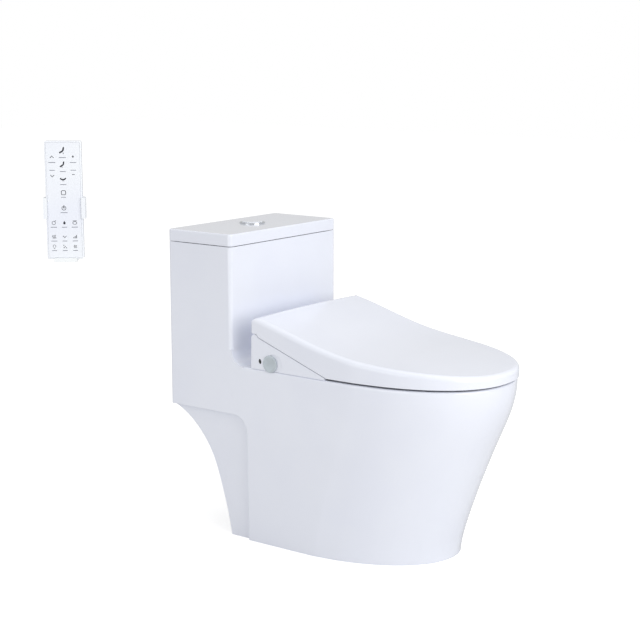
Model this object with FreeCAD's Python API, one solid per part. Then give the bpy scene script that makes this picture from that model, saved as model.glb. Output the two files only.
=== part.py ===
"""Smart toilet with heated seat: one-piece skirted ceramic body, washing seat unit and wall remote.

Millimetres. +Z is up, the front of the bowl points along -Y, and +X is to the right of someone facing it.
The origin is the centre of the floor outlet, at floor level.
"""
import FreeCAD
import Part
import math
import os

os.makedirs("parts", exist_ok=True)

# ---- driving dimensions -------------------------------------------------------------------------
# Overall body
ROUGH_IN = 305.0            # outlet centre to the finished wall
WALL_GAP = 12.0             # back of the tank to the wall
HALF_WIDTH = 193.0          # half the width of the tank and the skirt
TANK_TOP_Z = 664.0          # upper edge of the tank walls
TANK_DEPTH = 183.0
SKIN_BOTTOM_Z = 291.0       # lower edge of the tank's outer skin
RIM_Z = 402.0               # top of the bowl rim and of the deck
RIM_NOSE_REACH = 474.0      # outlet centre to the front of the rim
FLOOR_NOSE_REACH = 350.0    # outlet centre to the front of the foot
FLOOR_HALF_WIDTH = 176.0
NOSE_LENGTH = 300.0         # length of the rounded part of the rim
FOOT_NOSE_LENGTH = 280.0
CERAMIC_WALL = 12.0
PEDESTAL_INSET = 10.0       # how far the rear pedestal stands in from the skin
STEP_Y = 68.0               # rear edge of the skirt's outer skin, up at the tank
STEP_FOOT_Y = 78.0          # the same edge at the floor
STEP_RADIUS = 38.0
DECK_FILLET = 34.0          # concave sweep from the tank down to the deck
DECK_THICKNESS = 14.0
TANK_FLOOR_Z = 418.0        # top of the tank's floor
TANK_FLOOR_THICKNESS = 14.0
TANK_EDGE_RADIUS = 9.0
RIM_EDGE_RADIUS = 5.0

# Bowl and trapway
BOWL_MID_Y = -244.0
BOWL_HALF_LENGTH = 180.0
BOWL_HALF_WIDTH = 122.0
BOWL_RIM_DEPTH = 36.0       # height of the straight wall under the rim
BOWL_LEDGE = 9.0            # width of the ledge that the flush runs round on
SUMP_Z = 148.0
SUMP_Y = -178.0
TRAP_RADIUS = 27.0
TRAP_WALL = 9.0
TRAP_BEND = 50.0
TRAP_CREST_Z = 265.0
TRAP_SLOPE = 49.0           # degrees that the rising leg makes with the floor
DUCT_HALF_WIDTH = 32.0      # flush duct under the deck
DUCT_HEIGHT = 34.0
HORN_RADIUS = 46.0
HORN_HEIGHT = 34.0

# Tank fittings
LID_THICKNESS = 28.0
LID_WALL = 9.0
LID_SEAM = 1.5
VALVE_Y = 214.0
VALVE_HOLE_RADIUS = 31.0
FILL_X = 128.0
FILL_HOLE_RADIUS = 11.0
BUTTON_RADIUS = 24.0
BUTTON_RING_RADIUS = 29.5
BUTTON_SPLIT_GAP = 0.8
PLUNGER_LIFT = 20.0
FLOAT_RISE = 25.0

# Seat unit
UNIT_REAR_Y = 54.0
UNIT_FRONT_Y = -74.0
UNIT_TOP_Z = 482.0
HINGE_Y = 44.0
HINGE_Z = 470.0
HINGE_ROUND = 9.0           # radius of the unit's rear top corner about the hinge line
LID_SWING_GAP = 1.6         # lid above that round, so that it clears the rear wall when it is up
PIN_RADIUS = 4.0
PIN_FIT = 0.05
CHEEK_WIDTH = 10.0
CHEEK_TIP_Y = -145.0
LID_LINE_REAR_Z = 479.2     # lower edge of the lid at its rear
LID_LINE_SLOPE = 0.365
CASE_WALL = 2.6
BODY_GAP = 0.4              # between pieces that move past each other
PART_GAP = 0.3              # between pieces that only stand side by side

# Seat and lid
LID_REACH = 478.0
LID_SKIN = 3.2
LID_EDGE_GAP = 4.5          # lower edge of the lid above the rim
LID_EDGE_RADIUS = 11.0
LID_CROWN = 3.0
SEAT_INSET = 9.0            # seat edge inside the lid edge
SEAT_HALF_WIDTH = 179.0
SEAT_UNDER_Z = 407.0
SEAT_THICKNESS = 18.5
SEAT_REAR_Y = -79.0
SEAT_HOLE_MID_Y = -253.0
SEAT_HOLE_HALF_LENGTH = 138.0
SEAT_HOLE_HALF_WIDTH = 104.0
SEAT_HINGE_IN = 151.0
SEAT_HINGE_OUT = 164.0
LID_HINGE_IN = 167.0
LID_HINGE_OUT = 180.0

# Wand
WAND_RADIUS = 8.5
WAND_LENGTH = 124.0
WAND_SLOPE = 25.0           # degrees below the horizontal
WAND_X = 0.0

# Remote and its holder
REMOTE_X = -682.0
REMOTE_Y = 107.0
REMOTE_Z = 700.0            # underside of the remote
REMOTE_YAW = -50.0
REMOTE_WIDTH = 69.0
REMOTE_HEIGHT = 224.0
REMOTE_DEPTH = 19.0
REMOTE_SHELL = 2.0

# ---- values worked out from the driving dimensions -----------------------------------------------
TANK_BACK_Y = ROUGH_IN - WALL_GAP
TANK_FRONT_Y = TANK_BACK_Y - TANK_DEPTH
TANK_MID_Y = (TANK_BACK_Y + TANK_FRONT_Y) / 2
LID_TOP_Z = TANK_TOP_Z + LID_THICKNESS
INNER_HALF = HALF_WIDTH - CERAMIC_WALL
DECK_UNDER_Z = RIM_Z - DECK_THICKNESS


# ---- helpers ------------------------------------------------------------------------------------
def vec(x, y, z):
    return FreeCAD.Vector(x, y, z)


X_AXIS = vec(1, 0, 0)
Y_AXIS = vec(0, 1, 0)
Z_AXIS = vec(0, 0, 1)


def box(x0, x1, y0, y1, z0, z1):
    return Part.makeBox(x1 - x0, y1 - y0, z1 - z0, vec(x0, y0, z0))


def rod(x, y, z, axis, radius, length):
    return Part.makeCylinder(radius, length, vec(x, y, z), axis)


def ring(x, y, z, axis, outer, inner, length):
    return rod(x, y, z, axis, outer, length).cut(rod(x, y, z, axis, inner, length))


def polygon(points):
    return Part.makePolygon([vec(*p) for p in points] + [vec(*points[0])])


def plate_yz(points, x0, x1):
    """A flat outline of (y, z) corners, thick from x0 to x1."""
    face = Part.Face(polygon([(x0, y, z) for y, z in points]))
    return face.extrude(vec(x1 - x0, 0, 0))


def rounded_box(x0, x1, y0, y1, z0, z1, radius):
    """A box with its four upright edges rounded."""
    solid = box(x0, x1, y0, y1, z0, z1)
    upright = [e for e in solid.Edges if abs(e.tangentAt(e.FirstParameter).z) > 0.99]
    return solid.makeFillet(radius, upright)


def smooth(points):
    curve = Part.BSplineCurve()
    curve.interpolate([vec(*p) for p in points])
    return curve.toShape()


def between(value, table):
    """Straight-line lookup in a list of (key, value) pairs."""
    for (k0, v0), (k1, v1) in zip(table, table[1:]):
        if value <= k1:
            return v0 + (v1 - v0) * (value - k0) / (k1 - k0)
    return table[-1][1]


def joined(shapes):
    first = shapes[0]
    return first.fuse(shapes[1:]).removeSplitter()


def save(node, shape):
    shape.exportStep("parts/" + node + ".step")


def nose_outline(z, half, nose_y, length, power, back_y, count=10):
    """Closed outline at height z: a rounded nose at nose_y, straight sides, square back at back_y."""
    points = []
    for i in range(2 * count + 1):
        angle = math.pi * i / (2 * count)
        side = math.cos(angle)
        x = half * math.copysign(abs(side) ** (2 / power), side)
        y = nose_y + length * (1 - abs(math.sin(angle)) ** (2 / power))
        points.append(vec(x, y, z))
    curve = Part.BSplineCurve()
    curve.interpolate(Points=points, InitialTangent=vec(0, -1, 0), FinalTangent=vec(0, 1, 0))
    start = points[0]
    end = points[-1]
    lines = [
        Part.makeLine(end, vec(end.x, back_y, z)),
        Part.makeLine(vec(end.x, back_y, z), vec(start.x, back_y, z)),
        Part.makeLine(vec(start.x, back_y, z), start),
    ]
    return Part.Wire([curve.toShape()] + lines)


def nose_prism(z0, z1, half, nose_y, length, power, back_y):
    face = Part.Face(nose_outline(z0, half, nose_y, length, power, back_y))
    return face.extrude(vec(0, 0, z1 - z0))


def oval(mid_y, half_y, half_x, z):
    """Level ellipse, long along Y."""
    ellipse = Part.Ellipse(vec(0, mid_y + half_y, z), vec(half_x, mid_y, z), vec(0, mid_y, z))
    return Part.Wire(ellipse.toShape())


# ---- ceramic body -------------------------------------------------------------------------------
# Height, reach of the front, half width, length of the rounded nose and its power, from foot to rim.
SKIRT_POWER = 2.3
FOOT_POWER = 2.05


def skirt_sections():
    """Sections of the skirt: the front leans in towards the foot in a slow S."""
    rise = RIM_NOSE_REACH - FLOOR_NOSE_REACH
    lean = [(0, 0.0), (46, 0.065), (90, 0.17), (144, 0.315), (203, 0.492), (261, 0.677), (314, 0.855),
            (360, 0.968), (RIM_Z, 1.0)]
    draft = [(0, 0.0), (130, 0.5), (SKIN_BOTTOM_Z - 20, 1.0), (RIM_Z, 1.0)]
    for z, share in lean:
        half = FLOOR_HALF_WIDTH + (HALF_WIDTH - FLOOR_HALF_WIDTH) * between(z, draft)
        reach = FLOOR_NOSE_REACH + rise * share
        length = FOOT_NOSE_LENGTH + (NOSE_LENGTH - FOOT_NOSE_LENGTH) * share
        power = FOOT_POWER + (SKIRT_POWER - FOOT_POWER) * share
        yield z, half, reach, length, power


def skirt_loft(inset, top=RIM_Z):
    wires = []
    for z, half, reach, length, power in skirt_sections():
        height = min(z, top)
        wires.append(nose_outline(height, half - inset, inset - reach, length - inset / 2, power,
                                  TANK_BACK_Y))
    return Part.makeLoft(wires, True, False)


def side_region(x0, x1, step_z, step_y, radius):
    """Side view of the outer skin: full height in front of the step, only above step_z behind it."""
    bottom_y = step_y + radius
    mid_y = bottom_y - radius * math.cos(math.pi / 4)
    mid_z = step_z - radius * (1 - math.sin(math.pi / 4))
    wire = Part.Wire([
        Part.makeLine(vec(x0, -ROUGH_IN * 2, 0), vec(x0, STEP_FOOT_Y, 0)),
        Part.makeLine(vec(x0, STEP_FOOT_Y, 0), vec(x0, step_y, step_z - radius)),
        Part.Arc(vec(x0, step_y, step_z - radius), vec(x0, mid_y, mid_z),
                 vec(x0, bottom_y, step_z)).toShape(),
        Part.makeLine(vec(x0, bottom_y, step_z), vec(x0, TANK_BACK_Y, step_z)),
        Part.makeLine(vec(x0, TANK_BACK_Y, step_z), vec(x0, TANK_BACK_Y, TANK_TOP_Z)),
        Part.makeLine(vec(x0, TANK_BACK_Y, TANK_TOP_Z), vec(x0, -ROUGH_IN * 2, TANK_TOP_Z)),
        Part.makeLine(vec(x0, -ROUGH_IN * 2, TANK_TOP_Z), vec(x0, -ROUGH_IN * 2, 0)),
    ])
    return Part.Face(wire).extrude(vec(x1 - x0, 0, 0))


# Rear edge of the pedestal in side view, from the floor up to the tank's lower back corner (y, z).
PEDESTAL_FOOT_Y = 136.0
PEDESTAL_CURVE = [(PEDESTAL_FOOT_Y, 0), (147, 68), (160, 122), (176, 174), (215, 238), (252, 271)]
PEDESTAL_BACK_GAP = 1.0     # pedestal's top in front of the tank's back


def pedestal_region():
    """Side view of the pedestal: a concave sweep from the foot to the back of the tank."""
    x0 = -HALF_WIDTH
    top = (TANK_BACK_Y - PEDESTAL_BACK_GAP, SKIN_BOTTOM_Z)
    high = SKIN_BOTTOM_Z + DECK_THICKNESS
    sweep = smooth([(x0, y, z) for y, z in PEDESTAL_CURVE + [top]])
    wire = Part.Wire([
        sweep,
        Part.makeLine(vec(x0, top[0], top[1]), vec(x0, top[0], high)),
        Part.makeLine(vec(x0, top[0], high), vec(x0, 0, high)),
        Part.makeLine(vec(x0, 0, high), vec(x0, 0, 0)),
        Part.makeLine(vec(x0, 0, 0), vec(x0, PEDESTAL_FOOT_Y, 0)),
    ])
    return Part.Face(wire).extrude(vec(2 * HALF_WIDTH, 0, 0))


def deck_sweep():
    """Concave fillet between the front of the tank and the deck."""
    centre_y = TANK_FRONT_Y - DECK_FILLET
    block = box(-HALF_WIDTH, HALF_WIDTH, centre_y, TANK_FRONT_Y + 1, RIM_Z - RIM_EDGE_RADIUS - 1,
                RIM_Z + DECK_FILLET)
    return block.cut(rod(-HALF_WIDTH, centre_y, RIM_Z + DECK_FILLET, X_AXIS, DECK_FILLET, 2 * HALF_WIDTH))


def bowl_sections():
    """Height, middle, half length and half width of the bowl's inside, from the rim to the sump."""
    ledge_z = RIM_Z - BOWL_RIM_DEPTH
    long = BOWL_HALF_LENGTH - BOWL_LEDGE
    wide = BOWL_HALF_WIDTH - BOWL_LEDGE
    depth = ledge_z - SUMP_Z
    return [
        (ledge_z, BOWL_MID_Y, long, wide),
        (ledge_z - 0.25 * depth, BOWL_MID_Y + 2, 0.93 * long, 0.9 * wide),
        (ledge_z - 0.55 * depth, BOWL_MID_Y + 22, 0.68 * long, 0.66 * wide),
        (ledge_z - 0.78 * depth, SUMP_Y - 22, 0.46 * long, 0.47 * wide),
        (SUMP_Z, SUMP_Y, 0.24 * long, 0.33 * wide),
    ]


def bowl_solid(grow):
    """The bowl's inside, or with grow its outside, down to the sump."""
    wires = []
    for z, mid, long, wide in bowl_sections():
        wires.append(oval(mid, long + grow, wide + grow, z))
    lowest = bowl_sections()[-1]
    if grow:
        wires.append(oval(lowest[1], lowest[2] + grow * 0.7, lowest[3] + grow * 0.7, SUMP_Z - grow))
    basin = Part.makeLoft(wires, True, False)
    rim_oval = oval(BOWL_MID_Y, BOWL_HALF_LENGTH + grow, BOWL_HALF_WIDTH + grow, RIM_Z - BOWL_RIM_DEPTH)
    rim = Part.Face(rim_oval).extrude(vec(0, 0, BOWL_RIM_DEPTH + (0 if grow else 1)))
    return basin.fuse(rim)


def trap_solid(radius, bottom_z):
    """The siphon passage: up from the sump, over the crest and straight down to the floor."""
    slope = math.radians(TRAP_SLOPE)
    centre_z = TRAP_CREST_Z - TRAP_BEND
    start = vec(0, -TRAP_BEND - TRAP_BEND * math.sin(slope), centre_z + TRAP_BEND * math.cos(slope))
    back = (start.z - SUMP_Z - TRAP_RADIUS * 0.6) / math.sin(slope)
    foot = start - vec(0, math.cos(slope), math.sin(slope)) * back
    crest = vec(0, -TRAP_BEND, TRAP_CREST_Z)
    drop = vec(0, 0, centre_z)
    path = Part.Wire([
        Part.makeLine(foot, start),
        Part.Arc(start, crest, drop).toShape(),
        Part.makeLine(drop, vec(0, 0, bottom_z)),
    ])
    circle = Part.Circle(foot, start - foot, radius)
    section = Part.Wire(circle.toShape())
    tube = path.makePipeShell([section], True, False)
    return tube.fuse(Part.makeSphere(radius, foot))


def flush_duct(grow):
    """Water way under the deck, from the flush valve to the back of the bowl, just under the rim."""
    half = DUCT_HALF_WIDTH + grow
    z1 = DECK_UNDER_Z + (grow and 1)
    z0 = DECK_UNDER_Z - DUCT_HEIGHT - grow
    front = BOWL_MID_Y + BOWL_HALF_LENGTH - CERAMIC_WALL
    run = box(-half, half, front, VALVE_Y + DUCT_HALF_WIDTH + grow, z0, z1)
    shaft = rod(0, VALVE_Y, z0, Z_AXIS, half, TANK_FLOOR_Z - z0 - (TANK_FLOOR_THICKNESS / 2 if grow else 5))
    return run.fuse(shaft)


MOUNT_HOLE_X = 77.5
MOUNT_HOLE_Y = 22.0
MOUNT_HOLE_RADIUS = 8.0
TRIM_OVER = 2.0             # how far a trimming cut reaches past the sides
UNDER_DECK_INSET = 2.0      # room under the deck inside the tank's own walls
UNDER_DECK_REACH = 4.0      # that room in front of the deck's sweep


def ceramic_body():
    outer_loft = skirt_loft(0.0)
    skin = outer_loft.common(side_region(-HALF_WIDTH - 1, HALF_WIDTH + 1, SKIN_BOTTOM_Z, STEP_Y, STEP_RADIUS))
    rim_edges = [e for e in skin.Edges
                 if e.BoundBox.ZMin > RIM_Z - 0.01 and e.BoundBox.YMin < -RIM_NOSE_REACH + 5]
    skin = skin.makeFillet(RIM_EDGE_RADIUS, rim_edges)
    pedestal = skirt_loft(PEDESTAL_INSET).common(pedestal_region())
    tank = rounded_box(-HALF_WIDTH, HALF_WIDTH, TANK_FRONT_Y, TANK_BACK_Y, SKIN_BOTTOM_Z, TANK_TOP_Z,
                       TANK_EDGE_RADIUS)
    square_foot = box(-HALF_WIDTH, HALF_WIDTH, TANK_FRONT_Y, TANK_BACK_Y - TANK_EDGE_RADIUS,
                      SKIN_BOTTOM_Z, RIM_Z + DECK_FILLET)
    back_trim = box(-HALF_WIDTH - TRIM_OVER, HALF_WIDTH + TRIM_OVER, TANK_BACK_Y - TANK_EDGE_RADIUS - 1,
                    TANK_BACK_Y, 0, RIM_Z)
    skin = skin.cut(back_trim)
    outer = skin.fuse([pedestal, tank, square_foot, deck_sweep()])

    ceiling = DECK_UNDER_Z
    front_hollow = skirt_loft(CERAMIC_WALL).common(
        box(-HALF_WIDTH, HALF_WIDTH, -RIM_NOSE_REACH, STEP_Y - CERAMIC_WALL, -1, ceiling))
    rear_wall = PEDESTAL_INSET + CERAMIC_WALL
    rear_hollow = skirt_loft(rear_wall).common(
        box(-HALF_WIDTH, HALF_WIDTH, STEP_Y - CERAMIC_WALL - 1, TANK_BACK_Y, -1, ceiling))
    under = INNER_HALF - UNDER_DECK_INSET
    upper = box(-under, under, TANK_FRONT_Y - DECK_FILLET - UNDER_DECK_REACH, TANK_BACK_Y - CERAMIC_WALL,
                SKIN_BOTTOM_Z + CERAMIC_WALL, ceiling)
    back_door = box(-HALF_WIDTH + rear_wall, HALF_WIDTH - rear_wall, TANK_BACK_Y - CERAMIC_WALL - 1,
                    TANK_BACK_Y + 1, -1, SKIN_BOTTOM_Z)
    hollow = front_hollow.fuse([rear_hollow.cut(box(-HALF_WIDTH, HALF_WIDTH, TANK_BACK_Y - CERAMIC_WALL,
                                                    TANK_BACK_Y, SKIN_BOTTOM_Z, RIM_Z)), upper, back_door])
    horn = rod(0, 0, 0, Z_AXIS, HORN_RADIUS, HORN_HEIGHT)
    works = bowl_solid(CERAMIC_WALL).fuse([trap_solid(TRAP_RADIUS + TRAP_WALL, 0), horn,
                                           flush_duct(TRAP_WALL)])
    body = outer.cut(hollow.cut(works))

    cavity = rounded_box(-INNER_HALF, INNER_HALF, TANK_FRONT_Y + CERAMIC_WALL, TANK_BACK_Y - CERAMIC_WALL,
                         TANK_FLOOR_Z, TANK_TOP_Z + 1, TANK_EDGE_RADIUS)
    valve_hole = rod(0, VALVE_Y, TANK_FLOOR_Z - TANK_FLOOR_THICKNESS - 20, Z_AXIS, VALVE_HOLE_RADIUS, 60)
    fill_hole = rod(FILL_X, TANK_MID_Y, DECK_UNDER_Z - 5, Z_AXIS, FILL_HOLE_RADIUS, 60)
    body = body.cut([cavity, bowl_solid(0.0), trap_solid(TRAP_RADIUS, 0), flush_duct(0.0), valve_hole,
                     fill_hole])
    for side in (-1, 1):
        body = body.cut(rod(side * MOUNT_HOLE_X, MOUNT_HOLE_Y, DECK_UNDER_Z - 5, Z_AXIS,
                            MOUNT_HOLE_RADIUS, 40))
    return body.removeSplitter()


# ---- tank lid and flush button ------------------------------------------------------------------
BUTTON_Y = TANK_MID_Y + 4.5
BUTTON_PROUD = 5.0
BUTTON_HEIGHT = 9.0
RING_PROUD = 3.0
RING_EDGE_RADIUS = 1.2
NUT_HEIGHT = 7.0
NUT_FLANGE = 8.0            # nut's edge outside the sleeve
NUT_GROOVE_RADIUS = 2.4
HOUSING_RADIUS = 26.5
HOUSING_THREAD_LENGTH = 24.0
ROD_RADIUS = 2.5
ROD_OFFSET = 11.0
VALVE_TOP_Z = 616.0          # foot of the push rods
LID_LIP = 6.0               # how far the lid's locating rib reaches into the tank
LID_LIP_GAP = 2.0


def tank_lid():
    slab = box(-HALF_WIDTH, HALF_WIDTH, TANK_FRONT_Y, TANK_BACK_Y, TANK_TOP_Z + LID_SEAM, LID_TOP_Z)
    upright = [e for e in slab.Edges if abs(e.tangentAt(e.FirstParameter).z) > 0.99]
    slab = slab.makeFillet(TANK_EDGE_RADIUS, upright)
    top = [e for e in slab.Edges if e.BoundBox.ZMin > LID_TOP_Z - 0.01]
    slab = slab.makeFillet(3.5, top)
    slab = slab.cut(box(-INNER_HALF, INNER_HALF, TANK_FRONT_Y + CERAMIC_WALL, TANK_BACK_Y - CERAMIC_WALL,
                        TANK_TOP_Z, LID_TOP_Z - LID_WALL))
    reach = INNER_HALF - LID_LIP_GAP
    y0 = TANK_FRONT_Y + CERAMIC_WALL + LID_LIP_GAP
    y1 = TANK_BACK_Y - CERAMIC_WALL - LID_LIP_GAP
    rib = rounded_box(-reach, reach, y0, y1, TANK_TOP_Z - LID_LIP, LID_TOP_Z - LID_WALL,
                      TANK_EDGE_RADIUS - LID_LIP_GAP)
    rib = rib.cut(box(-reach + LID_LIP, reach - LID_LIP, y0 + LID_LIP, y1 - LID_LIP,
                      TANK_TOP_Z - LID_LIP - 1, LID_TOP_Z))
    slab = slab.fuse(rib)
    return slab.cut(rod(0, BUTTON_Y, TANK_TOP_Z - 1, Z_AXIS, HOUSING_RADIUS + 0.5, 60)).removeSplitter()


def flush_housing():
    """Chrome ring with a threaded sleeve that the nut clamps to the lid."""
    flange = ring(0, BUTTON_Y, LID_TOP_Z, Z_AXIS, BUTTON_RING_RADIUS, BUTTON_RADIUS + BODY_GAP, RING_PROUD)
    crest = [e for e in flange.Edges if e.BoundBox.ZMin > LID_TOP_Z + RING_PROUD - 0.01
             and e.BoundBox.XLength > 2 * BUTTON_RING_RADIUS - 1]
    flange = flange.makeFillet(RING_EDGE_RADIUS, crest)
    sleeve = ring(0, BUTTON_Y, LID_TOP_Z - HOUSING_THREAD_LENGTH, Z_AXIS, HOUSING_RADIUS,
                  BUTTON_RADIUS + BODY_GAP, HOUSING_THREAD_LENGTH)
    floor_z = LID_TOP_Z - HOUSING_THREAD_LENGTH
    floor = rod(0, BUTTON_Y, floor_z, Z_AXIS, HOUSING_RADIUS, 2.0)
    for side in (-1, 1):
        floor = floor.cut(rod(side * ROD_OFFSET, BUTTON_Y, floor_z - 1, Z_AXIS, ROD_RADIUS + BODY_GAP, 5))
    return flange.fuse([sleeve, floor]).removeSplitter()


def flush_housing_nut():
    z0 = LID_TOP_Z - LID_WALL - NUT_HEIGHT
    body = ring(0, BUTTON_Y, z0, Z_AXIS, HOUSING_RADIUS + NUT_FLANGE, HOUSING_RADIUS + PIN_FIT, NUT_HEIGHT)
    reach = HOUSING_RADIUS + NUT_FLANGE + NUT_GROOVE_RADIUS / 4
    for i in range(8):
        angle = math.pi * i / 4
        groove_y = BUTTON_Y + reach * math.sin(angle)
        body = body.cut(rod(reach * math.cos(angle), groove_y, z0, Z_AXIS, NUT_GROOVE_RADIUS, NUT_HEIGHT))
    return body


def flush_button(side):
    """One half of the round dual-flush button with its push rod, side -1 or 1 along X."""
    z0 = LID_TOP_Z + BUTTON_PROUD - BUTTON_HEIGHT
    cap = rod(0, BUTTON_Y, z0, Z_AXIS, BUTTON_RADIUS, BUTTON_HEIGHT)
    top = [e for e in cap.Edges if e.BoundBox.ZMin > z0 + BUTTON_HEIGHT - 0.01]
    cap = cap.makeFillet(1.5, top)
    reach = BUTTON_RADIUS + 1
    near = BUTTON_SPLIT_GAP / 2
    if side > 0:
        keep = box(near, reach, BUTTON_Y - reach, BUTTON_Y + reach, z0, z0 + BUTTON_HEIGHT)
    else:
        keep = box(-reach, -near, BUTTON_Y - reach, BUTTON_Y + reach, z0, z0 + BUTTON_HEIGHT)
    cap = cap.common(keep)
    foot_z = VALVE_TOP_Z + BODY_GAP
    push = rod(side * ROD_OFFSET, BUTTON_Y, foot_z, Z_AXIS, ROD_RADIUS, z0 - foot_z + 1)
    return cap.fuse(push)


# ---- flush valve --------------------------------------------------------------------------------
TOWER_RADIUS = 38.0
TOWER_POST_RADIUS = 3.5
TOWER_LOW_Z = TANK_FLOOR_Z
SEAT_Z = TANK_FLOOR_Z + 14.0
PLUNGER_RADIUS = 27.0
OVERFLOW_RADIUS = 12.0
OVERFLOW_TOP_Z = 578.0
OVERFLOW_WALL = 2.0
TOWER_POST_INSET = 1.0      # posts inside the edge of the tower's plates
ROCKER_LENGTH = 22.0
ROCKER_DROP = 5.0


def flush_valve_gasket():
    return ring(0, VALVE_Y, TANK_FLOOR_Z, Z_AXIS, VALVE_HOLE_RADIUS + 11, VALVE_HOLE_RADIUS - 2, 3.0)


def flush_valve_tower():
    """Seat ring in the tank floor, four posts and a top plate that guides the plunger and the push rods."""
    low = TANK_FLOOR_Z + 3.0
    base = ring(0, VALVE_Y, low, Z_AXIS, VALVE_HOLE_RADIUS + 9, VALVE_HOLE_RADIUS - 6, SEAT_Z - low)
    spigot = ring(0, VALVE_Y, TANK_FLOOR_Z - TANK_FLOOR_THICKNESS, Z_AXIS, VALVE_HOLE_RADIUS - 2.5,
                  VALVE_HOLE_RADIUS - 6, low - TANK_FLOOR_Z + TANK_FLOOR_THICKNESS)
    parts = [base, spigot]
    top_z = OVERFLOW_TOP_Z + PLUNGER_LIFT + 4
    for i in range(4):
        angle = math.pi * (2 * i + 1) / 4
        reach = TOWER_RADIUS - TOWER_POST_RADIUS - TOWER_POST_INSET
        x = reach * math.cos(angle)
        y = VALVE_Y + reach * math.sin(angle)
        parts.append(rod(x, y, SEAT_Z - 1, Z_AXIS, TOWER_POST_RADIUS, top_z - SEAT_Z - 3))
    guide_z = OVERFLOW_TOP_Z - 30
    guide = ring(0, VALVE_Y, guide_z, Z_AXIS, TOWER_RADIUS, OVERFLOW_RADIUS + BODY_GAP, 4)
    cap = ring(0, VALVE_Y, top_z - 5, Z_AXIS, TOWER_RADIUS, OVERFLOW_RADIUS + 2, 4)
    return joined(parts + [guide, cap, rocker_bracket()])


def flush_valve_plunger():
    z0 = SEAT_Z + 3.0 + BODY_GAP
    disc = rod(0, VALVE_Y, z0, Z_AXIS, PLUNGER_RADIUS - 2, 5)
    tube = ring(0, VALVE_Y, z0, Z_AXIS, OVERFLOW_RADIUS, OVERFLOW_RADIUS - OVERFLOW_WALL, OVERFLOW_TOP_Z - z0)
    bore = rod(0, VALVE_Y, z0 - 1, Z_AXIS, OVERFLOW_RADIUS - OVERFLOW_WALL, 10)
    return disc.cut(bore).fuse(tube).removeSplitter()


def flush_valve_seal():
    return ring(0, VALVE_Y, SEAT_Z + BODY_GAP, Z_AXIS, PLUNGER_RADIUS + 1, OVERFLOW_RADIUS + 2, 3.0)


def flush_rocker():
    """Lever that turns the push of the full button into the lift of the plunger."""
    y = BUTTON_Y - 3.0
    pivot_x = -ROD_OFFSET - ROCKER_LENGTH / 2
    pivot_z = VALVE_TOP_Z - ROCKER_DROP
    pivot = rod(pivot_x, y, pivot_z, Y_AXIS, 3.0, 6.0)
    arm = box(pivot_x, -ROD_OFFSET, y, y + 6.0, pivot_z - 1.5, pivot_z + 1.5)
    pad = rod(-ROD_OFFSET, y, VALVE_TOP_Z - 3, Y_AXIS, 3.0, 6.0)
    bore = rod(pivot_x, y - 1, pivot_z, Y_AXIS, 1.5 + PIN_FIT, 8.0)
    return pivot.fuse([arm, pad]).cut(bore).removeSplitter()


def rocker_bracket():
    """Bridge on top of the flush valve that carries the rocker on its pin."""
    y0 = BUTTON_Y - 3.0
    pivot_x = -ROD_OFFSET - ROCKER_LENGTH / 2
    pivot_z = VALVE_TOP_Z - ROCKER_DROP
    x0 = pivot_x - 4
    top_z = OVERFLOW_TOP_Z + PLUNGER_LIFT + 4
    cheeks = [box(x0, x0 + 8, y0 - 3 - BODY_GAP, y0 - BODY_GAP, top_z - 2, pivot_z + 3),
              box(x0, x0 + 8, y0 + 6 + BODY_GAP, y0 + 9 + BODY_GAP, top_z - 2, pivot_z + 3)]
    foot = box(x0, x0 + 8, y0 - 3 - BODY_GAP, y0 + 9 + BODY_GAP, top_z - 3, top_z - 0.5)
    pin = rod(pivot_x, y0 - 3 - BODY_GAP, pivot_z, Y_AXIS, 1.5, 12 + 2 * BODY_GAP)
    return joined(cheeks + [foot, pin])


# ---- fill valve ---------------------------------------------------------------------------------
FILL_TUBE_RADIUS = 10.0
FILL_TOP_Z = 612.0
SHANK_LENGTH = 58.0
SHANK_WALL = 3.5
THREAD_RADIUS = 10.48       # G 1/2
THREAD_LENGTH = 18.0
FLOAT_RADIUS = 19.0
FLOAT_HEIGHT = 44.0
LEVER_Z = 606.0
REFILL_Y = VALVE_Y + 2.0


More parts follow.
